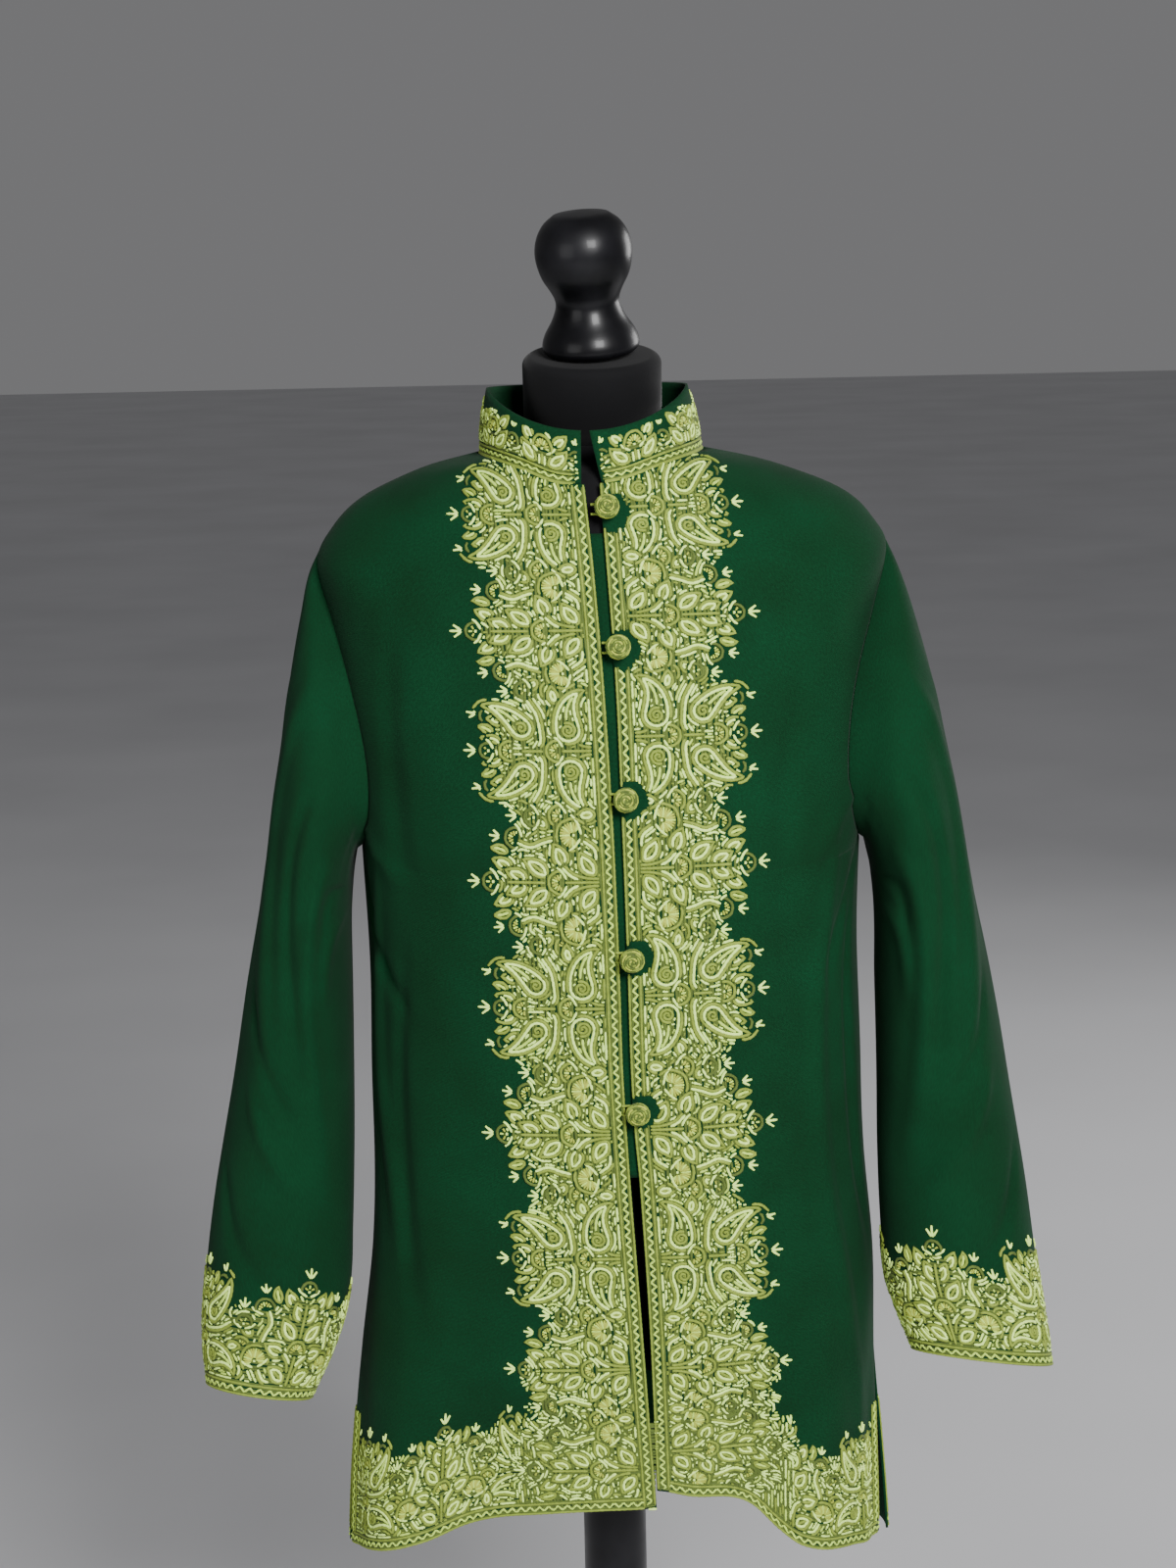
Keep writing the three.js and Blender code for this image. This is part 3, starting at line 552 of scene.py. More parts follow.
@dataclass(frozen=True)
class BlackLacquer(Finish):
    """Turned beech sprayed with black lacquer: glossy, with a faint orange peel and dust-dulled patches."""

    worn: str = "#17171a"
    peel_mm: float = 6.25
    dust_mm: float = 1000 / 22

    def dress(self, tree: bpy.types.NodeTree, shader: bpy.types.Node) -> None:
        """Add a slight change of colour and the low waves of sprayed lacquer."""
        colour = self.mottle(tree, self.worn, 45)
        spread = {1: 0.3, 2: 0.7, 3: self.roughness - 0.06, 4: self.roughness + 0.1}
        rough = node(tree, "ShaderNodeMapRange", spread, Value=self.grain(tree, self.dust_mm, 4.0))
        self.join(tree, shader, colour, self.grain(tree, self.peel_mm, 1.0), 0.08, 0.4)
        tree.links.new(rough.outputs["Result"], shader.inputs["Roughness"])


@dataclass(frozen=True)
class PaleFloor(Finish):
    """Plain matt painted floor."""

    faded: str = "#c9c9cb"

    def dress(self, tree: bpy.types.NodeTree, shader: bpy.types.Node) -> None:
        """Add faint unevenness of paint."""
        tree.links.new(self.mottle(tree, self.faded, 900), shader.inputs["Base Color"])


class Wardrobe:
    """All finishes as materials, made once."""

    def __init__(self) -> None:
        """Make the materials."""
        wool = WoolTwill("wool_twill_bottle_green", "#06341c", 0.92, sheen=0.02, specular=0.1)
        jersey = FormJersey("cotton_jersey_black", "#0a0a0c", 0.92, sheen=0.06, specular=0.22)
        lacquer = BlackLacquer("lacquered_beech_black", "#040405", 0.34, coat=0.05, specular=0.18)
        floor = PaleFloor("painted_floor_pale", "#d2d2d4", 0.9, specular=0.1)
        plain = [finish.material() for finish in (wool, jersey, lacquer, floor)]
        self.wool, self.jersey, self.lacquer, self.floor = plain
        hanks = (("pale_mint", "#e0ff8a", "#d2f67a"), ("leaf", "#c2e262", "#b2d152"),
                 ("olive", "#879a3b", "#778930"), ("moss", "#586a2c", "#4a5a24"),
                 ("straw", "#adb945", "#9ba83a"))
        threads = [CrewelThread(f"crewel_thread_{name}", colour, 0.8, sheen=0.06, specular=0.25, other=other)
                   for name, colour, other in hanks]
        self.threads = [thread.material() for thread in threads]


@dataclass
class Stroke:
    """One run of chain stitch on the flat chart, in millimetres along and away from the border's edge."""

    path: Array
    shade: Shade
    weight: float = 1.0
    height: float = 0.35
    stitch: float = 2.1


def resample(path: Array, step: float) -> Array:
    """Space a path's points evenly."""
    path = np.asarray(path, float)
    runs = np.concatenate([[0], np.cumsum(np.linalg.norm(np.diff(path, axis=0), axis=1))])
    count = max(2, round(runs[-1] / step) + 1)
    at = np.linspace(0, runs[-1], count)
    return np.stack([np.interp(at, runs, path[:, k]) for k in range(path.shape[1])], 1)


def runs_of(path: Array, keep: Array, least: int) -> list[Array]:
    """Split a path into the runs whose points are kept and that have at least a number of points."""
    found, run = [], []
    for point, good in zip(path, keep):
        if good:
            run.append(point)
        elif run:
            found.append(run)
            run = []
    if run:
        found.append(run)
    return [np.array(r) for r in found if len(r) >= least]


def level(line: Array, away: float) -> Array:
    """Chart path along a border at one distance from its edge."""
    return np.stack([line, np.full(len(line), away)], 1)


def sideways(line: Array) -> Array:
    """Directions across a path, a quarter turn from its heading."""
    tangent = unit(np.gradient(line, axis=0))
    return np.stack([-tangent[:, 1], tangent[:, 0]], 1)


def polar(radius: Array | float, angle: Array | float) -> Array:
    """Points at a radius and an angle round the figure's own origin."""
    return np.stack([radius * np.cos(angle), radius * np.sin(angle)], -1)


@dataclass(frozen=True)
class Motif:
    """A figure of the chart. Its own x runs from its foot to its tip."""

    def strokes(self) -> list[Stroke]:
        """Strokes in the figure's own millimetres."""
        return []

    def placed(self, at: tuple[float, float], turn: float, mirror: bool) -> list[Stroke]:
        """Strokes on the chart.

        Args:
            at: Where the foot stands, along the border and away from its edge.
            turn: Direction of the tip in degrees, 90 being away from the edge.
            mirror: Whether the figure is flipped across the group's middle line.

        Returns:
            The strokes there.
        """
        c, s = math.cos(math.radians(turn)), math.sin(math.radians(turn))
        rotation = np.array([[c, s], [-s, c]])
        made = []
        for stroke in self.strokes():
            path = stroke.path @ rotation + np.array(at)
            if mirror:
                path = path * np.array([-1.0, 1.0])
            made.append(Stroke(path, stroke.shade, stroke.weight))
        return made


@dataclass(frozen=True)
class Leaf(Motif):
    """Pointed leaf of nested rows round a bending spine that runs from its foot to its tip."""

    length: float = 20
    width: float = 11
    bend: float = 0.0
    rows: tuple[Shade, ...] = (Shade.OLIVE, Shade.PALE, Shade.OLIVE)
    row_width: float = 2.2

    def half_width(self, t: Array) -> Array:
        """Half width at shares of the spine."""
        return self.width / 2 * np.sin(np.pi * t ** 0.8) ** 1.15

    def spine(self) -> tuple[Array, Array, Array]:
        """Shares, points and sideways directions of the spine."""
        t = np.linspace(0, 1, 33)
        heading = self.bend * t ** 1.6
        step = polar(1.0, heading) * self.length / (len(t) - 1)
        points = np.vstack([[0, 0], np.cumsum((step[1:] + step[:-1]) / 2, 0)])
        return t, points, np.stack([-np.sin(heading), np.cos(heading)], 1)

    def ring(self, inset: float) -> Array:
        """Closed row at a distance inside the outline."""
        t, points, side = self.spine()
        half = self.half_width(t) - inset
        keep = half >= 0
        points, side, half = points[keep], side[keep], half[keep, None]
        lower, upper = points - side * half, points + side * half
        return np.vstack([lower, upper[::-1], lower[:1]])

    def middle(self, inset: float) -> Array:
        """Row along the spine where the figure is wider than a distance."""
        t, points, _ = self.spine()
        return points[(self.half_width(t) > inset) & (t > 0.1)]

    def strokes(self) -> list[Stroke]:
        """Rows from the outline inward, the last one along the spine."""
        made = []
        for level, shade in enumerate(self.rows):
            inset = level * self.row_width
            if self.width / 2 - inset < self.row_width * 0.6:
                run = self.middle(inset - self.row_width * 0.4)
                return made + ([Stroke(run, shade)] if len(run) > 2 else [])
            made.append(Stroke(self.ring(inset), shade))
        return made


@dataclass(frozen=True)
class Fan(Motif):
    """Fan flower: stitches spread from a pale knot inside a scalloped rim."""

    radius: float = 8
    spread: float = 105
    heart: Shade = Shade.GOLD
    rim: Shade = Shade.OLIVE
    collar: bool = True

    def strokes(self) -> list[Stroke]:
        """Rim, spread stitches, knot and sepals."""
        made = []
        angles = np.radians(np.linspace(-self.spread, self.spread, 33))
        scallop = 1 + 0.05 * np.abs(np.sin(angles * 3.2))
        centre = [self.radius * 0.3, 0]
        made.append(Stroke(polar(self.radius * scallop, angles) + centre, self.rim))
        count = max(5, round(math.radians(2 * self.spread) * (self.radius - 2.2) / 2.3))
        for i, a in enumerate(np.radians(np.linspace(-self.spread + 12, self.spread - 12, count))):
            start, end = (1.9 if i % 2 else 3.2), self.radius - 2.1
            ray = polar(np.array([start, end]), a) + centre
            made.append(Stroke(ray, self.heart if i % 3 else Shade.LIGHT, 0.9))
        knot = centre[0] - 0.6
        made.append(Stroke(np.array([[knot - 0.7, 0], [knot + 0.7, 0]]), Shade.PALE, 1.35))
        if self.collar:
            for sign in (-1, 1):
                t = np.linspace(0, 1, 7)
                x = -2.2 + self.radius * t
                y = sign * (1.6 + (self.radius + 1.4) * np.sin(t * math.pi / 2) ** 0.8)
                made.append(Stroke(np.stack([x, y], 1)[:6], Shade.PALE, 0.9))
        return made


@dataclass(frozen=True)
class Paisley(Leaf):
    """Comma shape: a round head at the foot, a bending tail, nested rows and a coiled heart."""

    length: float = 34
    width: float = 20
    bend: float = 1.5
    rows: tuple[Shade, ...] = (Shade.OLIVE, Shade.PALE)

    def half_width(self, t: Array) -> Array:
        """Half width at shares of the spine."""
        return self.width / 2 * (1 - t ** 1.5) ** 0.95

    def ring(self, inset: float) -> Array:
        """Closed row at a distance inside the outline, round the head as well."""
        radius = self.width / 2 - inset
        turn = np.radians(np.linspace(90, 270, 15))
        return np.vstack([super().ring(inset)[:-1], polar(radius, turn)])

    def strokes(self) -> list[Stroke]:
        """Rows, the row inside the tail and the coil."""
        made = [Stroke(self.ring(level * self.row_width), shade) for level, shade in enumerate(self.rows)]
        depth = self.row_width * len(self.rows)
        room = self.width / 2 - depth
        t = np.linspace(0, 1, 44)
        angle = -math.tau * room / (self.row_width * 1.04) * t + 0.3
        made.append(Stroke(polar(room * (1 - t), angle)[:-3], Shade.OLIVE))
        tail = self.middle(depth * 0.92)
        tail = tail[np.linalg.norm(tail, axis=1) > room + 1.8]
        if len(tail) > 2:
            made.append(Stroke(tail, Shade.LIGHT))
        return made


@dataclass(frozen=True)
class Tendril(Motif):
    """Flowing stem through given places, with a pale row on one side."""

    through: tuple[tuple[float, float], ...] = ((0, 0), (10, 0))
    shade: Shade = Shade.OLIVE
    pale: bool = True

    def strokes(self) -> list[Stroke]:
        """The stem and its companion row."""
        keys = Table(tuple((float(k), *p) for k, p in enumerate(self.through)))
        at = np.linspace(0, len(self.through) - 1, 8 * len(self.through))
        line = np.stack([keys.read(1, at), keys.read(2, at)], 1)
        made = [Stroke(line, self.shade)]
        if self.pale:
            made.append(Stroke(line + sideways(line) * 2.2, Shade.PALE))
        return made


@dataclass(frozen=True)
class Sprig(Motif):
    """Three pale fingers at the tip of a spike."""

    length: float = 8

    def strokes(self) -> list[Stroke]:
        """Three short stitches that spread from one point."""
        made = []
        for angle, share in ((-38, 0.85), (0, 1.0), (38, 0.85)):
            finger = polar(np.array([0.8, self.length * share]), math.radians(angle))
            made.append(Stroke(finger, Shade.PALE, 0.85))
        return made


@dataclass(frozen=True)
class Stem(Motif):
    """Stem with a pale row on each side."""

    length: float = 20
    bend: float = 0.0
    sides: bool = True

    def strokes(self) -> list[Stroke]:
        """Middle row and its two companions."""
        x = np.linspace(0, self.length, 8)
        y = self.bend * self.length * (x / self.length) ** 2
        middle = np.stack([x, y], 1)
        made = [Stroke(middle, Shade.OLIVE)]
        if self.sides:
            made += [Stroke(middle[1:-1] + [0, sign * 2.3], Shade.PALE, 0.9) for sign in (-1, 1)]
        return made


Chart = tuple[tuple[Motif, tuple[float, float], float, bool], ...]

PAISLEY_GROUP: Chart = (
    (Stem(21, sides=False), (0, 11), 90, False),
    (Fan(7.5), (0, 33), 90, False),
    (Stem(14, sides=False), (0, 45), 90, False),
    (Fan(7, collar=False), (0, 66), 90, False),
    (Fan(5.5, rim=Shade.DARK), (0, 82), 90, False),
    (Sprig(9), (0, 92), 90, False),
    (Paisley(35, 20, -1.5), (15, 27), 8, True),
    (Paisley(33, 17, 0.9), (17, 59), 40, True),
    (Tendril(((2.5, 11), (3.0, 16), (4.5, 20), (6, 23)), pale=False), (0, 0), 0, True),
    (Tendril(((33, 74), (37, 80), (36, 87), (31, 92)), pale=False), (0, 0), 0, True),
    (Tendril(((3, 46), (7, 44), (14, 44), (27, 46), (38, 52))), (0, 0), 0, True),
    (Leaf(17, 9, 0.4), (3, 73), 58, True),
    (Leaf(14, 7.5, 0.4), (20, 70), 66, True),
    (Leaf(12, 5.5, 0.6, (Shade.OLIVE, Shade.LIGHT)), (13, 79), 52, True),
    (Leaf(14, 7.5, -0.5), (34, 34), 20, True),
    (Fan(5, rim=Shade.DARK), (25, 81), 78, True),
    (Sprig(7), (27, 90), 80, True),
)
FLOWER_GROUP: Chart = (
    (Stem(24, sides=False), (0, 11), 90, False),
    (Tendril(((2.5, 11), (3, 20), (6, 29), (12, 35))), (0, 0), 0, True),
    (Fan(8), (0, 36), 90, False),
    (Stem(26, sides=False), (0, 49), 90, False),
    (Leaf(17, 9.5), (2, 61), 66, True),
    (Leaf(17, 9, 0.35), (8, 71), 52, True),
    (Fan(6.5, rim=Shade.DARK), (0, 84), 90, False),
    (Sprig(9), (0, 95), 90, False),
    (Leaf(21, 11, 0.4), (4, 47), 44, True),
    (Leaf(20, 11, -0.4), (5, 14), 40, True),
    (Leaf(19, 10.5, 0.5), (10, 36), 8, True),
    (Tendril(((2, 12), (12, 11), (24, 12), (31, 20))), (0, 0), 0, True),
    (Fan(11, 125), (33, 25), 78, True),
    (Tendril(((33, 40), (30, 50), (27, 58), (30, 66))), (0, 0), 0, True),
    (Fan(7, rim=Shade.DARK), (31, 66), 80, True),
    (Leaf(13, 5.8, 0.7, (Shade.OLIVE, Shade.LIGHT)), (21, 74), 62, True),
    (Sprig(7.5), (32, 79), 82, True),
    (Fan(6, rim=Shade.DARK), (46, 53), 92, True),
    (Sprig(8), (47, 66), 90, True),
    (Leaf(15, 8, 0.4), (38, 46), 40, True),
    (Leaf(14, 8.5), (48, 12), 96, True),
    (Fan(7.5), (47, 34), 96, True),
)
COLLAR_GROUP: Chart = (
    (Stem(9), (0, 8.5), 90, False),
    (Fan(8), (0, 19), 90, False),
    (Sprig(6), (0, 31.5), 90, False),
    (Leaf(19, 9.5, 0.5), (5, 11), 28, True),
    (Leaf(15, 8, 0.4), (8, 24), 30, True),
    (Fan(6, rim=Shade.DARK), (26, 15), 80, True),
    (Sprig(5), (26, 27), 84, True),
)

# The two groups that take turns along a border, by whether the group is the one with paisleys.
GROUPS: dict[bool, Chart] = {True: PAISLEY_GROUP, False: FLOWER_GROUP}


@dataclass
class Border:
    """Embroidered border on a patch of cloth that is sampled on a flat grid of millimetres."""

    points: Array
    normals: Array
    origin: tuple[float, float]
    step: float
    closed: bool = False
    allowed: Array | None = None
    cell: float = 0.5
    spacing: float = 2.05
    braid_clear: float = 2.1
    most_swerve: float = 0.3
    # Start and spacing of the ground rows: real thread, dark so that their colour is painted shade between
    # the raised rows.
    shade_ground_start: float = 2.5
    shade_ground_spacing: float = 2.6
    strokes: list[Stroke] = field(default_factory=list)
    filling: list[Stroke] = field(default_factory=list)
    blocked: Array | None = None

    def __post_init__(self) -> None:
        """Make the raster that keeps rows of stitches apart."""
        rows, cols = self.points.shape[:2]
        self.size = ((rows - 1) * self.step, (cols - 1) * self.step)
        shape = tuple(int(extent / self.cell) + 1 for extent in self.size)
        self.blocked = np.zeros(shape, bool)
        self.near, self.heading = np.full(shape, 99.0), np.zeros(shape)
        self.inside = np.ones(shape, bool)
        if self.allowed is not None:
            r = np.clip(np.round(np.arange(shape[0]) * self.cell / self.step).astype(int), 0, rows - 1)
            c = np.clip(np.round(np.arange(shape[1]) * self.cell / self.step).astype(int), 0, cols - 1)
            self.inside = self.allowed[np.ix_(r, c)]

    def cells(self, path: Array) -> tuple[Array, Array, Array]:
        """Raster cells of points, and which points lie on the patch."""
        i = np.round((path[:, 0] - self.origin[0]) / self.cell).astype(int)
        j = np.round((path[:, 1] - self.origin[1]) / self.cell).astype(int)
        if self.closed:
            i = i % (self.blocked.shape[0] - 1)
        good = (i >= 0) & (i < self.blocked.shape[0]) & (j >= 0) & (j < self.blocked.shape[1])
        return np.clip(i, 0, self.blocked.shape[0] - 1), np.clip(j, 0, self.blocked.shape[1] - 1), good

    def stamp(self, paths: list[Array], radius: float) -> None:
        """Block the cells near paths."""
        if not paths:
            return
        i, j, good = self.cells(np.vstack([resample(p, self.cell) for p in paths]))
        for _, ii, jj in self.around(i[good], j[good], radius / self.cell, self.closed):
            self.blocked[ii, jj] = True

    def around(self, i: Array, j: Array, reach: float, wrap: bool) -> Iterator[tuple[float, Array, Array]]:
        """Cells round given ones.

        Args:
            i: Rows of the given cells.
            j: Their columns.
            reach: Greatest distance in cells.
            wrap: Whether the rows run on past the end of a closed border.

        Yields:
            A distance, and the rows and columns of the cells that far off in one direction.
        """
        steps = range(-int(reach) - 1, int(reach) + 2)
        for di, dj in itertools.product(steps, steps):
            away = math.hypot(di, dj)
            if away <= reach:
                ii = (i + di) % (self.blocked.shape[0] - 1) if wrap else i + di
                yield (away, np.clip(ii, 0, self.blocked.shape[0] - 1),
                       np.clip(j + dj, 0, self.blocked.shape[1] - 1))

    def add(self, figure: list[Stroke]) -> None:
        """Work one figure, leaving out what would cross earlier work."""
        kept = []
        for stroke in figure:
            path = resample(stroke.path, 0.8)
            i, j, good = self.cells(path)
            free = good & self.inside[i, j] & ~self.blocked[i, j]
            kept += [Stroke(run, stroke.shade, stroke.weight) for run in runs_of(path, free, 3)]
        self.stamp([s.path for s in kept], self.spacing)
        self.lead(kept)
        self.strokes += kept

    def lead(self, figure: list[Stroke], reach: int = 13) -> None:
        """Make the rows near a figure run along it."""
        if not figure:
            return
        paths = [resample(s.path, 1.0) for s in figure]
        turns = np.concatenate([np.arctan2(*np.gradient(p, axis=0).T[::-1]) for p in paths])
        i, j, good = self.cells(np.vstack(paths))
        i, j, turns = i[good], j[good], turns[good]
        for away, ii, jj in self.around(i, j, reach, False):
            nearer = away < self.near[ii, jj]
            self.near[ii[nearer], jj[nearer]] = away
            self.heading[ii[nearer], jj[nearer]] = turns[nearer]

    def work(self, chart: Chart, middle: float, stretch: float) -> None:
        """Work a group of figures.

        Args:
            chart: The group.
            middle: Place of its middle line along the border.
            stretch: Scale along the border.
        """
        for motif, at, turn, both in chart:
            for mirror in ((False, True) if both else (False,)):
                figure = motif.placed(at, turn, mirror)
                for stroke in figure:
                    stroke.path = stroke.path * [stretch, 1.0] + [middle, 0.0]
                self.add(figure)

    def braid(self, path: Array, width: float = 7.8, period: float = 7.0) -> None:
        """Work the edge braid: a zigzag between two straight rows.

        Args:
            path: Middle line of the braid.
            width: Distance between its outer rows.
            period: Length of one zigzag.
        """
        line = resample(path, period / 4)
        side = sideways(line)
        swing = np.array([0, 1, 0, -1])[np.arange(len(line)) % 4] * (width / 2 - 1.9)
        rows = [Stroke(line + side * (sign * width / 2), Shade.OLIVE, 0.8) for sign in (-1, 1)]
        rows.append(Stroke(line + side * swing[:, None], Shade.LIGHT, 0.78))
        for row in rows:
            i, j, good = self.cells(row.path)
            kept = runs_of(row.path, good & self.inside[i, j], 2)
            self.strokes += [Stroke(run, row.shade, row.weight) for run in kept]
        self.stamp([row.path for row in rows], self.braid_clear)
        self.lead(rows)

    def fill(self, reach: Array, seed: int) -> None:
        """Work the ground, real rows whose dark colour is painted shade between the raised rows, and then
        rows that echo the figures.

        Args:
            reach: For each place along the border, how far out the ground is filled.
            seed: Seed of the hand's unevenness.
        """
        rng = np.random.default_rng(seed)
        i, j = np.nonzero(self.inside & ~self.blocked)
        along, away = i * self.cell + self.origin[0], j * self.cell + self.origin[1]
        within = away < np.interp(along, reach[:, 0], reach[:, 1])
        i, j = i[within], j[within]
        order = np.argsort(self.near[i, j] + rng.random(len(i)) * 0.8)
        for k in order:
            if self.blocked[i[k], j[k]]:
                continue
            start = (i[k] * self.cell + self.origin[0], j[k] * self.cell + self.origin[1])
            ahead = self.follow(start, 0.0, rng.integers(5, 14), reach)
            path = self.follow(start, math.pi, rng.integers(4, 12), reach)[::-1] + [start] + ahead
            if len(path) < 3:
                continue
            ring = round(self.near[i[k], j[k]] * self.cell / self.spacing)
            odds = (8, 2, 1) if ring % 2 else (5, 3, 3)
            shade = (Shade.PALE, Shade.LIGHT, Shade.OLIVE)[rng.choice(3, p=np.array(odds) / sum(odds))]
            run = np.array(path, float)
            self.filling.append(Stroke(run, shade, 0.94))
            self.stamp([run], self.spacing - 0.25)
        # Ground rows sunk below the filling: real rows of thread whose dark shade is painted shade between
        # the raised rows.
        for row in np.arange(self.shade_ground_start, self.size[1], self.shade_ground_spacing):
            line = np.arange(self.origin[0] + 1, self.origin[0] + self.size[0] - 1, 2.5)
            path = np.stack([line, row + 0.5 * np.sin(line * 0.11 + row)], 1)
            i, j, good = self.cells(path)
            good &= self.inside[i, j] & (row < np.interp(line, reach[:, 0], reach[:, 1]) - 3)
            self.filling += [Stroke(run, Shade.DARK, 1.15, -0.3, 5.0) for run in runs_of(path, good, 3)]

    def follow(self, start: tuple[float, float], turned: float, most: int, reach: Array) -> list:
        """Places of a row that runs along its neighbours until it meets one.

        Args:
            start: Where the row starts.
            turned: Half a turn for the row's other half, or nothing.
            most: Most steps of a millimetre.
            reach: How far out the ground is filled.

        Returns:
            The places after the start.
        """
        x, y = start
        path, turn = [], None
        for _ in range(most):
            i = min(max(round((x - self.origin[0]) / self.cell), 0), self.blocked.shape[0] - 1)
            j = min(max(round((y - self.origin[1]) / self.cell), 0), self.blocked.shape[1] - 1)
            wish = self.heading[i, j] + turned
            if turn is not None and math.cos(wish - turn) < 0:
                wish += math.pi
            swerve = 0.0 if turn is None else math.remainder(wish - turn, math.tau)
            turn = wish if turn is None else turn + max(-self.most_swerve, min(self.most_swerve, swerve))
            x, y = x + math.cos(turn), y + math.sin(turn)
            if self.is_blocked(x, y) or y > np.interp(x, reach[:, 0], reach[:, 1]) + 2:
                break
            path.append((x, y))
        return path

    def is_blocked(self, a: float, b: float) -> bool:
        """Whether a place is taken or off the patch."""
        i = round((a - self.origin[0]) / self.cell)
        j = round((b - self.origin[1]) / self.cell)
        if self.closed:
            i = i % (self.blocked.shape[0] - 1)
        if not (0 <= i < self.blocked.shape[0] and 0 <= j < self.blocked.shape[1]):
            return True
        return bool(self.blocked[i, j] or not self.inside[i, j])

    def lift(self, path: Array, height: float) -> Array:
        """Carry chart points to the cloth.

        Args:
            path: Points on the chart.
            height: Distance above the middle of the cloth.

        Returns:
            Points in millimetres.
        """
        rows, cols = self.points.shape[:2]
        r = (path[:, 0] - self.origin[0]) / self.step
        c = np.clip((path[:, 1] - self.origin[1]) / self.step, 0, cols - 1.001)
        r = r % (rows - 1) if self.closed else np.clip(r, 0, rows - 1.001)
        i, j = r.astype(int), c.astype(int)
        fr, fc = (r - i)[:, None], (c - j)[:, None]

        def blend(grid: Array) -> Array:
            """Read a grid between its rows and columns."""
            low = grid[i, j] * (1 - fc) + grid[i, j + 1] * fc
            high = grid[i + 1, j] * (1 - fc) + grid[i + 1, j + 1] * fc
            return low * (1 - fr) + high * fr

        return blend(self.points) + unit(blend(self.normals)) * height


def stitched(name: str, threads: list, rows: list[tuple[Array, Array, Shade]], radius: float,
             roundness: int) -> bpy.types.Object:
    """Make rows of stitches or cords as one mesh that rides on the body.

    Args:
        name: Name of the piece.
        threads: Materials in the order of the shades.
        rows: For each row its points in millimetres, its share of the radius at each point and its shade.
        radius: Radius of a row in millimetres.
        roundness: Bevel resolution of a row.

    Returns:
        The mesh object.
    """
    curve = bpy.data.curves.new(name + "_rows", "CURVE")
    curve.dimensions = "3D"
    curve.bevel_depth = radius * MM
    curve.bevel_resolution = roundness
    curve.use_fill_caps = True
    for thread in threads:
        curve.materials.append(thread)
    for path, share, shade in rows:
        spline = curve.splines.new("POLY")
        spline.points.add(len(path) - 1)
        spline.points.foreach_set("co", np.hstack([path * MM, np.ones((len(path), 1))]).ravel())
        spline.points.foreach_set("radius", share)
        spline.material_index = shade.value
        spline.use_smooth = True
    carrier = bpy.data.objects.new(name + "_rows", curve)
    bpy.context.scene.collection.objects.link(carrier)
    bpy.context.view_layer.update()
    mesh = bpy.data.meshes.new_from_object(carrier.evaluated_get(bpy.context.evaluated_depsgraph_get()))
    mesh.name = name
    bpy.data.objects.remove(carrier)
    piece = bpy.data.objects.new(name, mesh)
    bpy.context.scene.collection.objects.link(piece)
    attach(piece, BODY)
    return piece


def plied(count: int) -> Array:
    """Share of the radius at each point of a row: full and thin by turns, as chain stitches are."""
    return np.where(np.arange(count) % 2 == 0, 0.88, 1.1)


@dataclass
class Needlework:
    """Turns the strokes of borders into raised rows of chain stitch."""

    materials: list
    thread_radius: float = 1.15
    half_cloth: float = 0.9
    end_share: float = 0.72

    def piece(self, name: str, borders: list[Border]) -> list[bpy.types.Object]:
        """Make the embroidery of one cut piece.

        Args:
            name: Name of the cut piece.
            borders: Borders worked on it.

        Returns:
            The figures, and the filling with the ground below it; the ground's dark thread is painted shade
            between the rows.
        """
        figures = self.rows(name + "_embroidery", [(b, s) for b in borders for s in b.strokes], 1)
        return [figures, self.rows(name + "_filling", [(b, s) for b in borders for s in b.filling], 0)]

    def rows(self, name: str, work: list[tuple[Border, Stroke]], roundness: int) -> bpy.types.Object:
        """Make rows of chain stitch as one mesh.

        Args:
            name: Name of the piece.
            work: The rows with their borders.
            roundness: Bevel resolution of a row.

        Returns:
            The mesh object, with one material for each shade.
        """
        shaped = []
        for border, stroke in work:
            path = border.lift(resample(stroke.path, stroke.stitch), self.half_cloth + stroke.height)
            share = plied(len(path)) * stroke.weight
            share[[0, -1]] *= self.end_share
            shaped.append((path, share, stroke.shade))
        piece = stitched(name, self.materials, shaped, self.thread_radius, roundness)
        piece.data.calc_loop_triangles()
        LOG.info("%s: %d rows, %d triangles", name, len(work), len(piece.data.loop_triangles))
        return piece


def border_reach(centres: list[tuple[float, bool]], low: float, high: float) -> Array:
    """How far out the ground is filled along a border.

    Args:
        centres: Middle of each group and whether it is a paisley group.
        low: Start of the border.
        high: End of the border.

    Returns:
        Rows of place and reach.
    """
    paisley = ((0, 84), (6, 80), (9, 77), (14, 82), (22, 80), (30, 83), (38, 74), (46, 68))
    flower = ((0, 86), (7, 82), (12, 80), (17, 76), (21, 68), (27, 70), (32, 74), (37, 66), (46, 66))
    at = np.arange(low, high, 1.0)
    reach = np.full(at.shape, 66.0)
    for place, is_paisley in centres:
        table = np.array(paisley if is_paisley else flower, float)
        away = np.abs(at - place)
        reach = np.where(away < 46, np.interp(away, table[:, 0], table[:, 1]), reach)
    return np.stack([at, reach], 1)


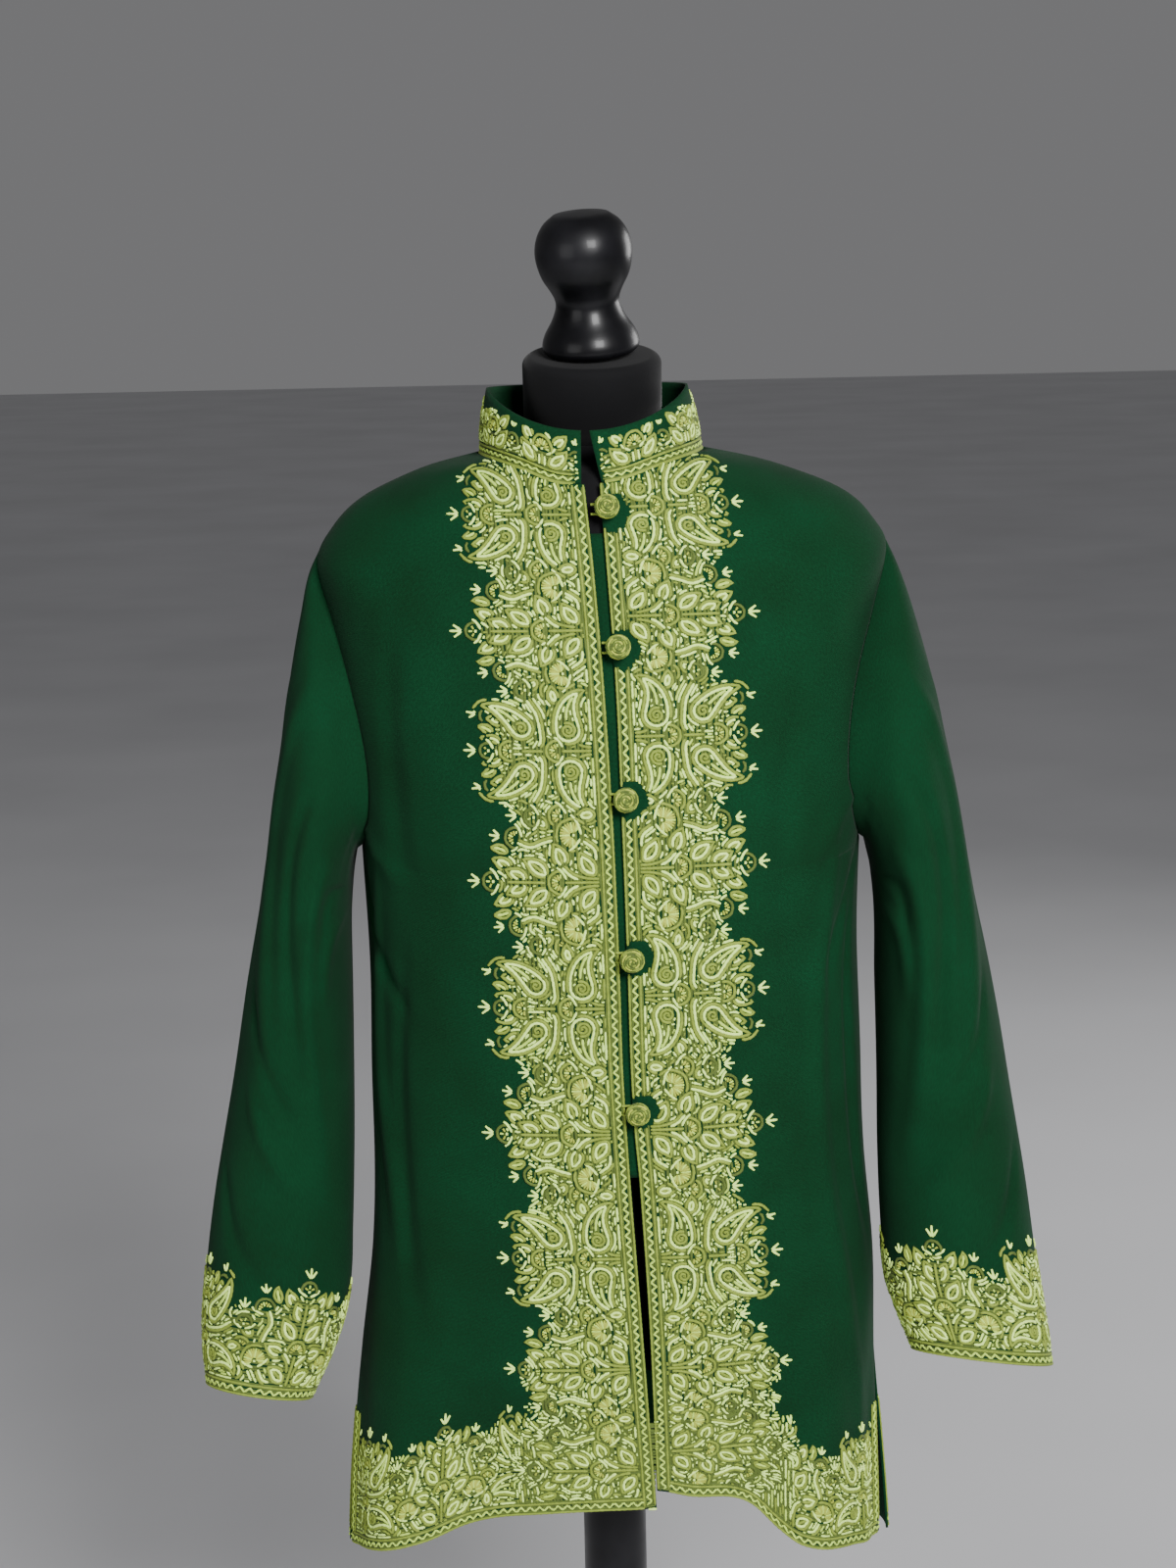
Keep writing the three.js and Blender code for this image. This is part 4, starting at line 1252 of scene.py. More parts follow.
@dataclass
class ClothPiece:
    """A cut piece of the jacket, made as a thin shell on its surface."""

    wardrobe: Wardrobe
    body: Body
    thickness: float = 1.8
    seam_gap: float = 0.15
    step: float = 2.0
    braid_height: float = 5.0

    def shell(self, name: str, points: Array, closed: bool = False,
              thickness: float | None = None) -> bpy.types.Object:
        """Make the cloth with its thickness and material.

        Args:
            name: Name of the CAD node that the cloth stands for.
            points: Rows and columns of the middle surface.
            closed: Whether the piece is a tube.
            thickness: Thickness of the cloth in millimetres.

        Returns:
            The object.
        """
        piece = Mesher.grid(name + "_cloth", points, closed)
        solid = piece.modifiers.new("Thickness", "SOLIDIFY")
        solid.thickness = (thickness or self.thickness) * MM
        solid.offset = 0.0
        solid.use_even_offset = True
        piece.data.materials.append(self.wardrobe.wool)
        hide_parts(name)
        corner = points[:-1, :-1]
        areas = np.linalg.norm(np.cross(points[1:, :-1] - corner, points[:-1, 1:] - corner), axis=-1)
        LOG.info("%s: %.4f square metres of cloth", name, areas.sum() * MM * MM)
        return piece

    def upright(self, run: Array, angles: Array, high: float) -> tuple[Array, Array]:
        """Columns of a border's grid above an edge of the cloth.

        Args:
            run: Running length of the edge.
            angles: Angles at those lengths.
            high: Height of the border.

        Returns:
            Angles of the grid, and heights above the edge as one row.
        """
        rise = np.arange(int(high / self.step) + 1) * self.step
        at = np.interp(np.arange(0, run[-1], self.step), run, angles)
        return at[:, None] * np.ones((1, len(rise))), rise[None]


@dataclass
class FrontPanel(ClothPiece):
    """One front, from the opening to the side seam and from the hem to the neck seam."""

    side: Side = Side.LEFT
    slit_top: float = 720
    front_neck: float = 1384
    neck_rows: tuple[float, ...] = (
        1385.5, 1387, 1388.8, 1390.5, 1392.2, 1394, 1395.5, 1397, 1398.2, 1399.3, 1400.6)
    columns: int = 62
    skirt_height: float = 630
    edge_low: float = 566
    edge_high: float = 1400
    edge_width: float = 112
    edge_degrees: float = 75
    hem_height: float = 112
    corner_top: float = 760
    corner_width: float = 130
    corner_reach: float = 780
    neck_radius: float = 100
    seam_clear: float = 0.9
    bare_seat: tuple[float, float, float] = (6.5, 1.5, 12.0)
    opening: Table = Table((
        (560, 33, 34), (630, 30.5, 31.5), (700, 26.5, 29.5), (780, 22, 27), (890, 15.5, 21.5),
        (930, 13.5, 18.5), (980, 11.5, 16.5), (1050, 10.5, 15.5), (1150, 8, 13.5), (1250, 3.5, 11),
        (1330, -2, 6.5), (1384, -7, 3)))
    hem_left: Table = Table((
        (-180, 565), (-154, 575), (-130, 592), (-118, 606), (-109, 614), (-100, 618), (-92, 620),
        (-80, 622)))
    hem_right: Table = Table((
        (-90, 638), (-84, 636), (-78, 630), (-70, 626), (-64, 617), (-58, 599), (-52, 586), (-39, 577),
        (-20, 569), (0, 565)))
    armhole: Armhole = Armhole()
    neckline: Neckline = Neckline()
    slit_degrees: float = 1.5

    @property
    def side_angle(self) -> float:
        """Angle of the side seam."""
        return -180.0 if self.side is Side.LEFT else 0.0

    def hem(self, angle: Array) -> Array:
        """Height of the hem at an angle."""
        return (self.hem_left if self.side is Side.LEFT else self.hem_right).read(1, angle)

    def opening_angle(self, z: Array) -> Array:
        """Angle of the edge beside the opening."""
        return self.body.front_angle(self.opening.read(1 if self.side is Side.LEFT else 2, z), z)

    def slit_angle(self, share: Array) -> Array:
        """Angle of the slit's edge, by the share of height from hem to slit top."""
        return self.side_angle - self.side.value * self.slit_degrees * (1 - share)

    def grid(self) -> tuple[Array, Array]:
        """Angles and heights of the panel's grid."""
        t = np.linspace(0, 1, self.columns + 1)
        angles, heights = [], []
        skirt_open = self.opening_angle(np.array(self.skirt_height))
        inner = self.opening_angle(self.hem(skirt_open))
        for share in np.linspace(0, 1, 23)[:-1]:
            start = self.opening_angle(lerp(self.hem(inner), self.slit_top, share))
            row = lerp(start, self.slit_angle(share), t)
            angles.append(row)
            heights.append(lerp(self.hem(row), self.slit_top, share))
        rows = [(z, self.side_angle) for z in np.linspace(self.slit_top, self.armhole.underarm, 61)[:-1]]
        for phi in np.linspace(math.pi, 0, 41):
            outer = self.side_angle - self.side.value * self.armhole.degrees(phi, self.armhole.front_degrees)
            rows.append((self.armhole.height(phi), outer))
        rows += [(z, self.side_angle) for z in np.linspace(self.armhole.shoulder, self.front_neck, 15)[1:]]
        for z, outer in rows:
            angles.append(lerp(self.opening_angle(np.array(z)), outer, t))
            heights.append(np.full(t.shape, z))
        for z in self.neck_rows:
            angles.append(lerp(self.neckline.angle_at(z, self.side), self.side_angle, t))
            heights.append(np.full(t.shape, z))
        return np.array(angles), np.array(heights)

    def cloth(self) -> bpy.types.Object:
        """Make the panel's cloth."""
        angles, heights = self.grid()
        points = self.body.point(angles, heights)
        seam = np.isclose(angles, self.side_angle)
        points[..., 1] -= np.where(seam, self.seam_gap, 0.0)
        return self.shell("front_right" if self.side is Side.LEFT else "front_left", points)

    def foot(self) -> Array:
        """Height of the hem where it meets the opening."""
        return self.hem(self.opening_angle(np.array(self.skirt_height)))

    def edge_border(self, buttons: tuple[float, ...]) -> tuple[Border, Array]:
        """Upright border beside the opening.

        Args:
            buttons: Heights of the buttons whose seats stay bare.

        Returns:
            The border, its length running with height, and the angles of its grid.
        """
        heights = np.arange(self.edge_low, self.edge_high + self.step, self.step)
        start = self.opening_angle(heights)
        fan = np.linspace(0, self.edge_degrees, 301)
        angles = start[:, None] + self.side.value * fan[None, :]
        surface = self.body.point(angles, heights[:, None])
        runs = Mesher.lengths(surface, 1)
        away = np.arange(0, self.edge_width + self.step, self.step)
        at = np.array([np.interp(away, run, row) for run, row in zip(runs, angles)])
        z = np.broadcast_to(heights[:, None], at.shape)
        allowed = z > self.hem(at) + 1.0
        seam = np.array([self.neckline.angle_at(h, self.side) for h in heights])
        past = (at - seam[:, None]) * self.side.value
        allowed &= (z < self.front_neck - 0.4) | (past * math.radians(1) * self.neck_radius > self.seam_clear)
        if self.side is Side.RIGHT:
            inset, drop, radius = self.bare_seat
            for button in buttons:
                allowed &= np.hypot(away[None, :] - inset, z - button + drop) > radius
        points, normals = self.body.point(at, z), self.body.normal(at, z)
        return Border(points, normals, (self.edge_low, 0.0), self.step, allowed=allowed), at

    def hem_border(self) -> tuple[Border, Array, Array]:
        """Border along the hem from the opening to the slit, with its angles and their running lengths."""
        start = float(self.opening_angle(self.foot()))
        end = float(self.slit_angle(np.array(0.0)))
        angles = np.linspace(start, end, 401)
        run = Mesher.lengths(self.body.point(angles, self.hem(angles))[None], 1)[0]
        at, rise = self.upright(run, angles, self.hem_height)
        z = self.hem(at) + rise
        return Border(self.body.point(at, z), self.body.normal(at, z), (0.0, 0.0), self.step), angles, run

    def work(self, buttons: tuple[float, ...]) -> list[Border]:
        """Work both borders, the hem's round what the upright one already covers.

        Args:
            buttons: Heights of the buttons.

        Returns:
            The borders with their strokes.
        """
        lift = 0 if self.side is Side.LEFT else 9
        edge, grid = self.edge_border(buttons)
        hem, angles, run = self.hem_border()
        foot = float(self.foot())
        edge.braid(level(np.arange(foot + 2, self.front_neck + 1, self.step), self.braid_height))
        length = hem.size[0]
        hem.braid(level(np.arange(9, length - 1, self.step), self.braid_height))
        hem.braid(level(np.arange(10, 110, self.step), length - self.braid_height)[:, ::-1])
        self.carry(hem.strokes, edge, grid, angles, run, True)
        paisleys = (1364 + lift / 2, 1206 + lift, 1023 + lift, 831)
        flowers = (1287 + lift, 1115 + lift, 928 + lift / 3, 741, foot + 34)
        centres = sorted([(z, True) for z in paisleys] + [(z, False) for z in flowers])
        for index, (z, is_paisley) in enumerate(centres):
            near = [abs(z - other) for k, (other, _) in enumerate(centres) if abs(k - index) == 1]
            edge.work(GROUPS[is_paisley], z, min(1.0, sum(near) / len(near) / 92))
        reach = border_reach(centres, 566, 1402)
        reach[:, 1] = np.minimum(reach[:, 1] + 36 * smooth((foot + 165 - reach[:, 0]) / 165), 104)
        edge.fill(reach, 3 + self.side.value)
        self.carry(edge.strokes + edge.filling, hem, grid, angles, run, False)
        centres = [(length - 33, True), (length - 107, False), (length - 181, True)]
        for place, is_paisley in centres:
            hem.work(GROUPS[is_paisley], place, 0.8)
        reach = border_reach(centres, 0, length)
        reach[:, 1] = np.maximum(reach[:, 1], 76)
        hem.fill(reach, 11 + self.side.value)
        return [edge, hem]

    def carry(self, rows: list[Stroke], target: Border, grid: Array, angles: Array, run: Array,
              upward: bool) -> None:
        """Keep one border clear of rows worked on the other.

        Args:
            rows: The rows.
            target: Border to keep clear.
            grid: Angles of the upright border's grid.
            angles: Angles along the hem.
            run: Running length of the hem at those angles.
            upward: Whether the rows are the hem's.
        """
        ordered = np.argsort(angles)
        for stroke in rows:
            a, b = stroke.path[:, 0], stroke.path[:, 1]
            if upward:
                angle = np.interp(a, run, angles)
                z = self.hem(angle) + b
                if z.min() > self.corner_top or a.min() > self.corner_width:
                    continue
                i = np.clip((z - self.edge_low) / self.step, 0, len(grid) - 1).astype(int)
                away = [abs(np.interp(t, *self.ordered(grid[row]))) for t, row in zip(angle, i)]
                target.stamp([np.stack([z, np.array(away)], 1)], 2.1)
            elif a.min() < self.corner_reach:
                i = np.clip((a - self.edge_low) / self.step, 0, len(grid) - 1).astype(int)
                j = np.clip(b / self.step, 0, grid.shape[1] - 1).astype(int)
                angle = grid[i, j]
                along = np.interp(angle, angles[ordered], run[ordered])
                target.stamp([np.stack([along, a - self.hem(angle)], 1)], 2.2)

    def ordered(self, row: Array) -> tuple[Array, Array]:
        """Angles of a grid row in rising order with their distances from the opening."""
        away = np.arange(len(row)) * self.step
        order = np.argsort(row)
        return row[order], away[order]


@dataclass
class BackPanel(ClothPiece):
    """The back in one piece, with slits at both sides."""

    slit_top: float = 720
    neck_top: float = 1401
    right_push: float = 7
    left_push: float = 1
    slit_spread: float = 24
    hem_height: float = 112
    groups: int = 5
    columns: int = 110
    hem_table: Table = Table(((0, 565), (90, 560), (180, 565)))
    armhole: Armhole = Armhole()

    def flare(self, angle: Array, share: Array) -> Array:
        """Outward push beside the slits."""
        right = self.right_push * smooth(1 - angle / self.slit_spread)
        left = self.left_push * smooth(1 - (180 - angle) / self.slit_spread)
        return (1 - share) * (right + left)

    def cloth(self) -> bpy.types.Object:
        """Make the back's cloth."""
        t = np.linspace(0, 1, self.columns + 1)
        angles, heights, extras = [], [], []
        for share in np.linspace(0, 1, 23)[:-1]:
            row = 180 * t
            angles.append(row)
            heights.append(lerp(self.hem_table.read(1, row), self.slit_top, share))
            extras.append(self.flare(row, share))
        rows = [(z, 0.0) for z in np.linspace(self.slit_top, self.armhole.underarm, 61)[:-1]]
        rows += [(self.armhole.height(phi), self.armhole.degrees(phi, self.armhole.back_degrees))
                 for phi in np.linspace(math.pi, 0, 41)]
        rows += [(z, 0.0) for z in np.linspace(self.armhole.shoulder, self.neck_top, 25)[1:]]
        for z, opened in rows:
            angles.append(lerp(opened, 180 - opened, t))
            heights.append(np.full(t.shape, z))
            extras.append(np.zeros(t.shape))
        angles, heights = np.array(angles), np.array(heights)
        points = self.body.point(angles, heights, np.array(extras))
        seam = (angles < 1e-6) | (angles > 180 - 1e-6)
        points[..., 1] += np.where(seam, self.seam_gap, 0.0)
        return self.shell("back", points)

    def hem_border(self) -> Border:
        """Border along the hem from slit to slit."""
        angles = np.linspace(0.3, 179.7, 601)
        edge = self.body.point(angles, self.hem_table.read(1, angles), self.flare(angles, 0.0))
        at, rise = self.upright(Mesher.lengths(edge[None], 1)[0], angles, self.hem_height)
        foot = self.hem_table.read(1, at)
        z = foot + rise
        extra = self.flare(at, (z - foot) / (self.slit_top - foot))
        return Border(self.body.point(at, z, extra), self.body.normal(at, z, extra), (0.0, 0.0), self.step)

    def work(self) -> list[Border]:
        """Work the hem border and the braids of the slits."""
        hem = self.hem_border()
        length = hem.size[0]
        hem.braid(level(np.arange(1, length - 1, self.step), self.braid_height))
        for place in (self.braid_height, length - self.braid_height):
            hem.braid(level(np.arange(12, 108, self.step), place)[:, ::-1])
        spacing = (length - 24) / self.groups
        centres = [(12 + spacing * (k + 0.5), k % 2 == 0) for k in range(self.groups)]
        for place, is_paisley in centres:
            hem.work(GROUPS[is_paisley], place, spacing / 94)
        hem.fill(border_reach(centres, 0, length), 29)
        return [hem]


@dataclass
class Sleeve(ClothPiece):
    """Long sleeve, ring by ring from the armhole to the cuff."""

    side: Side = Side.LEFT
    armhole: Armhole = Armhole()
    settles_by: float = 6
    left: Table = Table((
        (0, -201, 1335, -174, 1117, -6, 70, 0), (1, -208, 1318, -180, 1113, -7, 72, 0),
        (2, -213, 1294, -182, 1107, -8, 74, 0), (3, -219, 1264, -183, 1100, -9, 75, 0),
        (4, -225, 1232, -184, 1092, -10, 75, 0), (5, -230, 1198, -185, 1081, -11, 74, 0),
        (6, -237, 1160, -186, 1065, -12, 72, 1), (7, -244, 1118, -186.5, 1042, -13, 70, 2),
        (8, -252, 1072, -187, 1012, -15, 67, 4), (9, -261, 1022, -187.5, 974, -17, 65, 6),
        (10, -271, 968, -188.5, 930, -20, 62, 8), (11, -282, 912, -190, 882, -24, 59, 10),
        (12, -292, 856, -192, 834, -29, 56, 12), (13, -300, 802, -195, 789, -35, 53, 14),
        (14, -304, 758, -206, 748, -40, 50, 16), (15, -302, 716, -227, 702, -45, 48, 17)))
    right: Table = Table((
        (0, 207, 1335, 188, 1117, -6, 70, 0), (1, 215, 1318, 194, 1113, -7, 72, 0),
        (2, 224, 1294, 196, 1107, -8, 74, 0), (3, 233, 1264, 197, 1100, -9, 75, 0),
        (4, 242, 1232, 198.5, 1092, -10, 75, 0), (5, 249, 1198, 199.5, 1081, -11, 74, 0),
        (6, 257, 1160, 200.5, 1065, -12, 72, 1), (7, 265, 1118, 201, 1042, -13, 69, 2),
        (8, 273, 1072, 201, 1012, -15, 66, 4), (9, 282, 1022, 201.5, 974, -17, 63, 6),
        (10, 292, 968, 202, 930, -20, 60, 8), (11, 301, 912, 202, 882, -24, 56, 10),
        (12, 309, 856, 203, 834, -29, 53, 12), (13, 316, 802, 206, 789, -35, 49, 14),
        (14, 323, 756, 214, 762, -40, 46, 16), (15, 328, 716, 226, 731, -45, 44, 17)))
    creases: tuple[Crease, ...] = (
        Crease((2.5, 58), (10.0, 66), 11, 3.4), Crease((3.5, 92), (9.5, 96), 10, -3.2),
        Crease((4.5, 122), (11, 128), 12, 2.6), Crease((4.6, 150), (7.2, 118), 7, -2.6),
        Crease((5.6, 158), (8.4, 122), 8, 2.4), Crease((9.0, 40), (10.6, 100), 8, -2.4),
        Crease((10.2, 50), (11.6, 112), 8, 2.2), Crease((11.4, 30), (13.2, 92), 8, -2.0),
        Crease((2.5, 20), (9, 24), 13, -2.2), Crease((3.2, 215), (8.5, 208), 11, -2.8),
        Crease((4.0, 250), (11.5, 246), 12, 3.0), Crease((3.0, 290), (9.5, 284), 12, -2.8),
        Crease((8.6, 300), (10.4, 240), 9, 2.4), Crease((9.8, 310), (11.8, 250), 9, -2.4),
        Crease((12.0, 330), (14.2, 300), 10, -1.8), Crease((3.0, 325), (10, 330), 12, 2.2))
    crease_scale: tuple[float, float] = (45.0, 1.05)
    crease_depth: float = 1.4
    rows: int = 122
    columns: int = 92
    rings: int = 15
    cuff_height: float = 104
    groups: int = 4

    @property
    def table(self) -> Table:
        """Ring table of this side."""
        return self.left if self.side is Side.LEFT else self.right

    def loop_place(self, phi: Array) -> tuple[Array, Array]:
        """Angle and height on the body where the sleeve starts."""
        a = self.armhole
        inset = lerp(a.top_inset, a.underarm_inset, ((1 - np.cos(phi)) / 2) ** a.inset_power)
        reach = np.where(np.sin(phi) >= 0, a.front_degrees, a.back_degrees)
        away = a.degrees(phi, reach - inset * a.degrees_per_mm)
        return (-180 + away if self.side is Side.LEFT else -away), a.height(phi, inset)

    def plain(self, ring: Array, phi: Array) -> Array:
        """Point of the ring before it is joined to the armhole."""
        out_x, out_z, in_x, in_z, cy, depth, pitch = (self.table.read(k, ring) for k in range(1, 8))
        across = (1 + np.cos(phi)) / 2
        forward = depth * np.sin(phi)
        return np.stack([lerp(in_x, out_x, across), cy - forward * np.cos(np.radians(pitch)),
                         lerp(in_z, out_z, across) + forward * np.sin(np.radians(pitch))], -1)

    def point(self, ring: Array, phi: Array) -> Array:
        """Point of the middle surface with its creases."""
        ring, phi = np.broadcast_arrays(np.asarray(ring, float), np.asarray(phi, float))
        angle, z = self.loop_place(phi)
        stays = (1 - np.clip(ring / self.settles_by, 0, 1)) ** 2
        plain = self.plain(ring, phi)
        joined = plain + (self.body.point(angle, z) - self.plain(np.zeros_like(ring), phi)) * stays[..., None]
        middle = (self.plain(ring, np.zeros_like(phi)) + self.plain(ring, np.full_like(phi, math.pi))) / 2
        turn = np.degrees(phi) % 360
        push = sum(crease.height(ring, turn, self.crease_scale) for crease in self.creases)
        push = self.crease_depth * push
        push = push + 0.5 * np.sin(ring * 1.9 + np.sin(phi * 2)) * np.sin(phi * 3 + ring * 0.4)
        calm = smooth(ring / 2.2) * smooth((15.2 - ring) / 2.0)
        inner = 1 - 0.75 * smooth(1 - np.abs(turn - 180) / 45)
        return joined + unit(joined - middle) * (push * calm * inner)[..., None]

    def normal(self, ring: Array, phi: Array) -> Array:
        """Outward normals."""
        step = 0.02
        along = self.point(ring + step, phi) - self.point(ring - step, phi)
        around = self.point(ring, phi + step) - self.point(ring, phi - step)
        normal = unit(np.cross(along, around))
        middle = (self.plain(ring, np.zeros_like(phi)) + self.plain(ring, np.full_like(phi, math.pi))) / 2
        turn = np.where(((self.point(ring, phi) - middle) * normal).sum(-1) < 0, -1.0, 1.0)
        return normal * turn[..., None]

    def cloth(self) -> bpy.types.Object:
        """Make the sleeve's cloth."""
        ring = np.linspace(0, self.rings, self.rows + 1)[:, None]
        phi = np.linspace(0, math.tau, self.columns + 1)[None, :]
        name = "sleeve_right" if self.side is Side.LEFT else "sleeve_left"
        return self.shell(name, self.point(ring, phi), True)

    def work(self) -> list[Border]:
        """Work the cuff border."""
        phi = np.linspace(0, math.tau, 361)
        edge = Mesher.lengths(self.point(np.full_like(phi, self.rings), phi)[None], 1)[0]
        count = round(edge[-1] / self.step)
        at = np.interp(np.linspace(0, edge[-1], count + 1), edge, phi)
        rings = np.linspace(self.rings, self.rings - 3.5, 141)
        surface = self.point(rings[None, :], at[:, None])
        runs = Mesher.lengths(surface, 1)
        away = np.arange(0, self.cuff_height + self.step, self.step)
        ring = np.array([np.interp(away, run, rings) for run in runs])
        angle = np.broadcast_to(at[:, None], ring.shape)
        points, normals = self.point(ring, angle), self.normal(ring, angle)
        cuff = Border(points, normals, (0.0, 0.0), edge[-1] / count, closed=True)
        length = cuff.size[0]
        line = np.linspace(0, length, int(length / self.step))
        cuff.braid(level(line, self.braid_height), period=length / round(length / 7.0))
        spacing = length / self.groups
        centres = [(spacing * (k + 0.3), k % 2 == 0) for k in range(self.groups)]
        for place, is_paisley in centres:
            cuff.work(GROUPS[is_paisley], place, spacing / 94)
        beyond = [(centres[0][0] + length, True), (centres[-1][0] - length, False)]
        cuff.fill(border_reach(centres + beyond, 0, length), 41 + self.side.value)
        return [cuff]


@dataclass
class Collar(ClothPiece):
    """Stand collar, from the right end of the opening round the back to the left end."""

    neckline: Neckline = Neckline()
    seam_inset: float = 1.9
    lift: float = 0.3
    top_cx: float = -4
    top_half: float = 71
    top_front: float = 85
    top_back: float = 63
    front_height: float = 1421
    side_height: float = 1447
    back_height: float = 1446
    top_power: float = 1.6
    left_end: tuple[float, float] = (-9.5, -7.5)
    right_end: tuple[float, float] = (5, -1)
    bulge: float = 1.2
    band_height: float = 46
    bare_top: float = 4.5

    def point(self, degrees: Array, t: Array) -> Array:
        """Point of the middle surface, t running from the neck seam to the top edge."""
        degrees, t = np.broadcast_arrays(np.asarray(degrees, float), np.asarray(t, float))
        turn = np.where(degrees > 180, degrees - 360, degrees)
        foot, _ = self.neckline.at(turn, self.seam_inset)
        seam, _ = self.neckline.at(turn)
        foot[..., 2] = seam[..., 2] + self.lift
        c, s = np.cos(np.radians(degrees)), np.sin(np.radians(degrees))
        ends = np.where(s < 0, self.front_height, self.back_height)
        top = np.stack([self.top_cx + self.top_half * c, np.where(s < 0, self.top_front, self.top_back) * s,
                        lerp(self.side_height, ends, np.abs(s) ** self.top_power)], -1)
        bulge = self.bulge * np.sin(np.pi * t) * smooth((172 - np.abs(degrees - 90)) / 15)
        point = lerp(foot, top, t[..., None])
        point[..., 0] += bulge * c
        point[..., 1] += bulge * s
        return point

    def ends(self, t: Array) -> tuple[Array, Array]:
        """Angles of the two ends at t."""
        def end(x: Array, sign: int) -> Array:
            """Angle of an end at x."""
            return -90 + sign * np.degrees(np.arcsin(np.abs(x - self.neckline.cx) / self.neckline.half))
        return end(lerp(*self.right_end, t), 1), 360 + end(lerp(*self.left_end, t), -1)

    def grid(self, rows: int, columns: int) -> tuple[Array, Array]:
        """Angles and shares of an even grid."""
        t = np.linspace(0, 1, rows + 1)
        start, finish = self.ends(t)
        return lerp(start[:, None], finish[:, None], np.linspace(0, 1, columns + 1)[None]), np.repeat(
            t[:, None], columns + 1, 1)

    def cloth(self) -> bpy.types.Object:
        """Make the collar's cloth."""
        return self.shell("collar", self.point(*self.grid(10, 150)))

    def work(self) -> list[Border]:
        """Work the collar's outer face, which leaves a bare strip along the top."""
        degrees = np.linspace(*[float(e) for e in self.ends(np.array(0.0))], 721)
        run = Mesher.lengths(self.point(degrees, 0.0)[None], 1)[0]
        at = np.interp(np.arange(0, run[-1], self.step), run, degrees)
        t = np.linspace(0, 1, 61)
        tall = Mesher.lengths(self.point(at[:, None], t[None]), 1)
        away = np.arange(0, self.band_height, self.step)
        share = np.array([np.interp(away, row, t) for row in tall])
        angle = np.broadcast_to(at[:, None], share.shape)
        points = self.point(angle, share)
        d_angle, d_share = 1.0, 0.02
        around = self.point(angle + d_angle, share) - self.point(angle - d_angle, share)
        upward = self.point(angle, share + d_share) - self.point(angle, share - d_share)
        normal = unit(np.cross(around, upward))
        height = tall[:, -1]
        allowed = away[None, :] < (height[:, None] - self.bare_top)
        border = Border(points, normal, (0.0, 0.0), self.step, allowed=allowed)
        length = border.size[0]
        line = np.arange(2, length - 2, self.step)
        border.braid(level(line, 4.4), width=6.2)
        border.strokes.append(Stroke(level(line, 0.4), Shade.OLIVE, 1.15, 0.3))
        count = round(length / 52)
        spacing = length / count
        for k in range(count):
            border.work(COLLAR_GROUP, spacing * (k + 0.5), spacing / 55)
        line = np.arange(0, length, self.step)
        top = np.interp(line, np.arange(len(height)) * self.step, height)
        border.fill(np.stack([line, top - 11 - 4 * np.cos(math.tau * line / spacing)], 1), 53)
        return [border]


@dataclass
class Underlap(ClothPiece):
    """Narrow strip of cloth behind the opening."""

    bottom: float = 893
    top: float = 1352
    past_left: float = 14
    past_right: float = 11
    clear: float = 0.9
    strip_thickness: float = 1.2

    def cloth(self, opening: Table) -> bpy.types.Object:
        """Make the strip behind the edges of the opening."""
        z = np.linspace(self.bottom, self.top, 93)
        start = self.body.front_angle(opening.read(1, z) - self.past_left, z)
        end = self.body.front_angle(opening.read(2, z) + self.past_right, z)
        angles = lerp(start[:, None], end[:, None], np.linspace(0, 1, 9)[None])
        heights = np.repeat(z[:, None], 9, 1)
        below = self.thickness / 2 + self.clear + self.strip_thickness / 2
        points = self.body.point(angles, heights) - self.body.normal(angles, heights) * below
        return self.shell("underlap", points, thickness=self.strip_thickness)


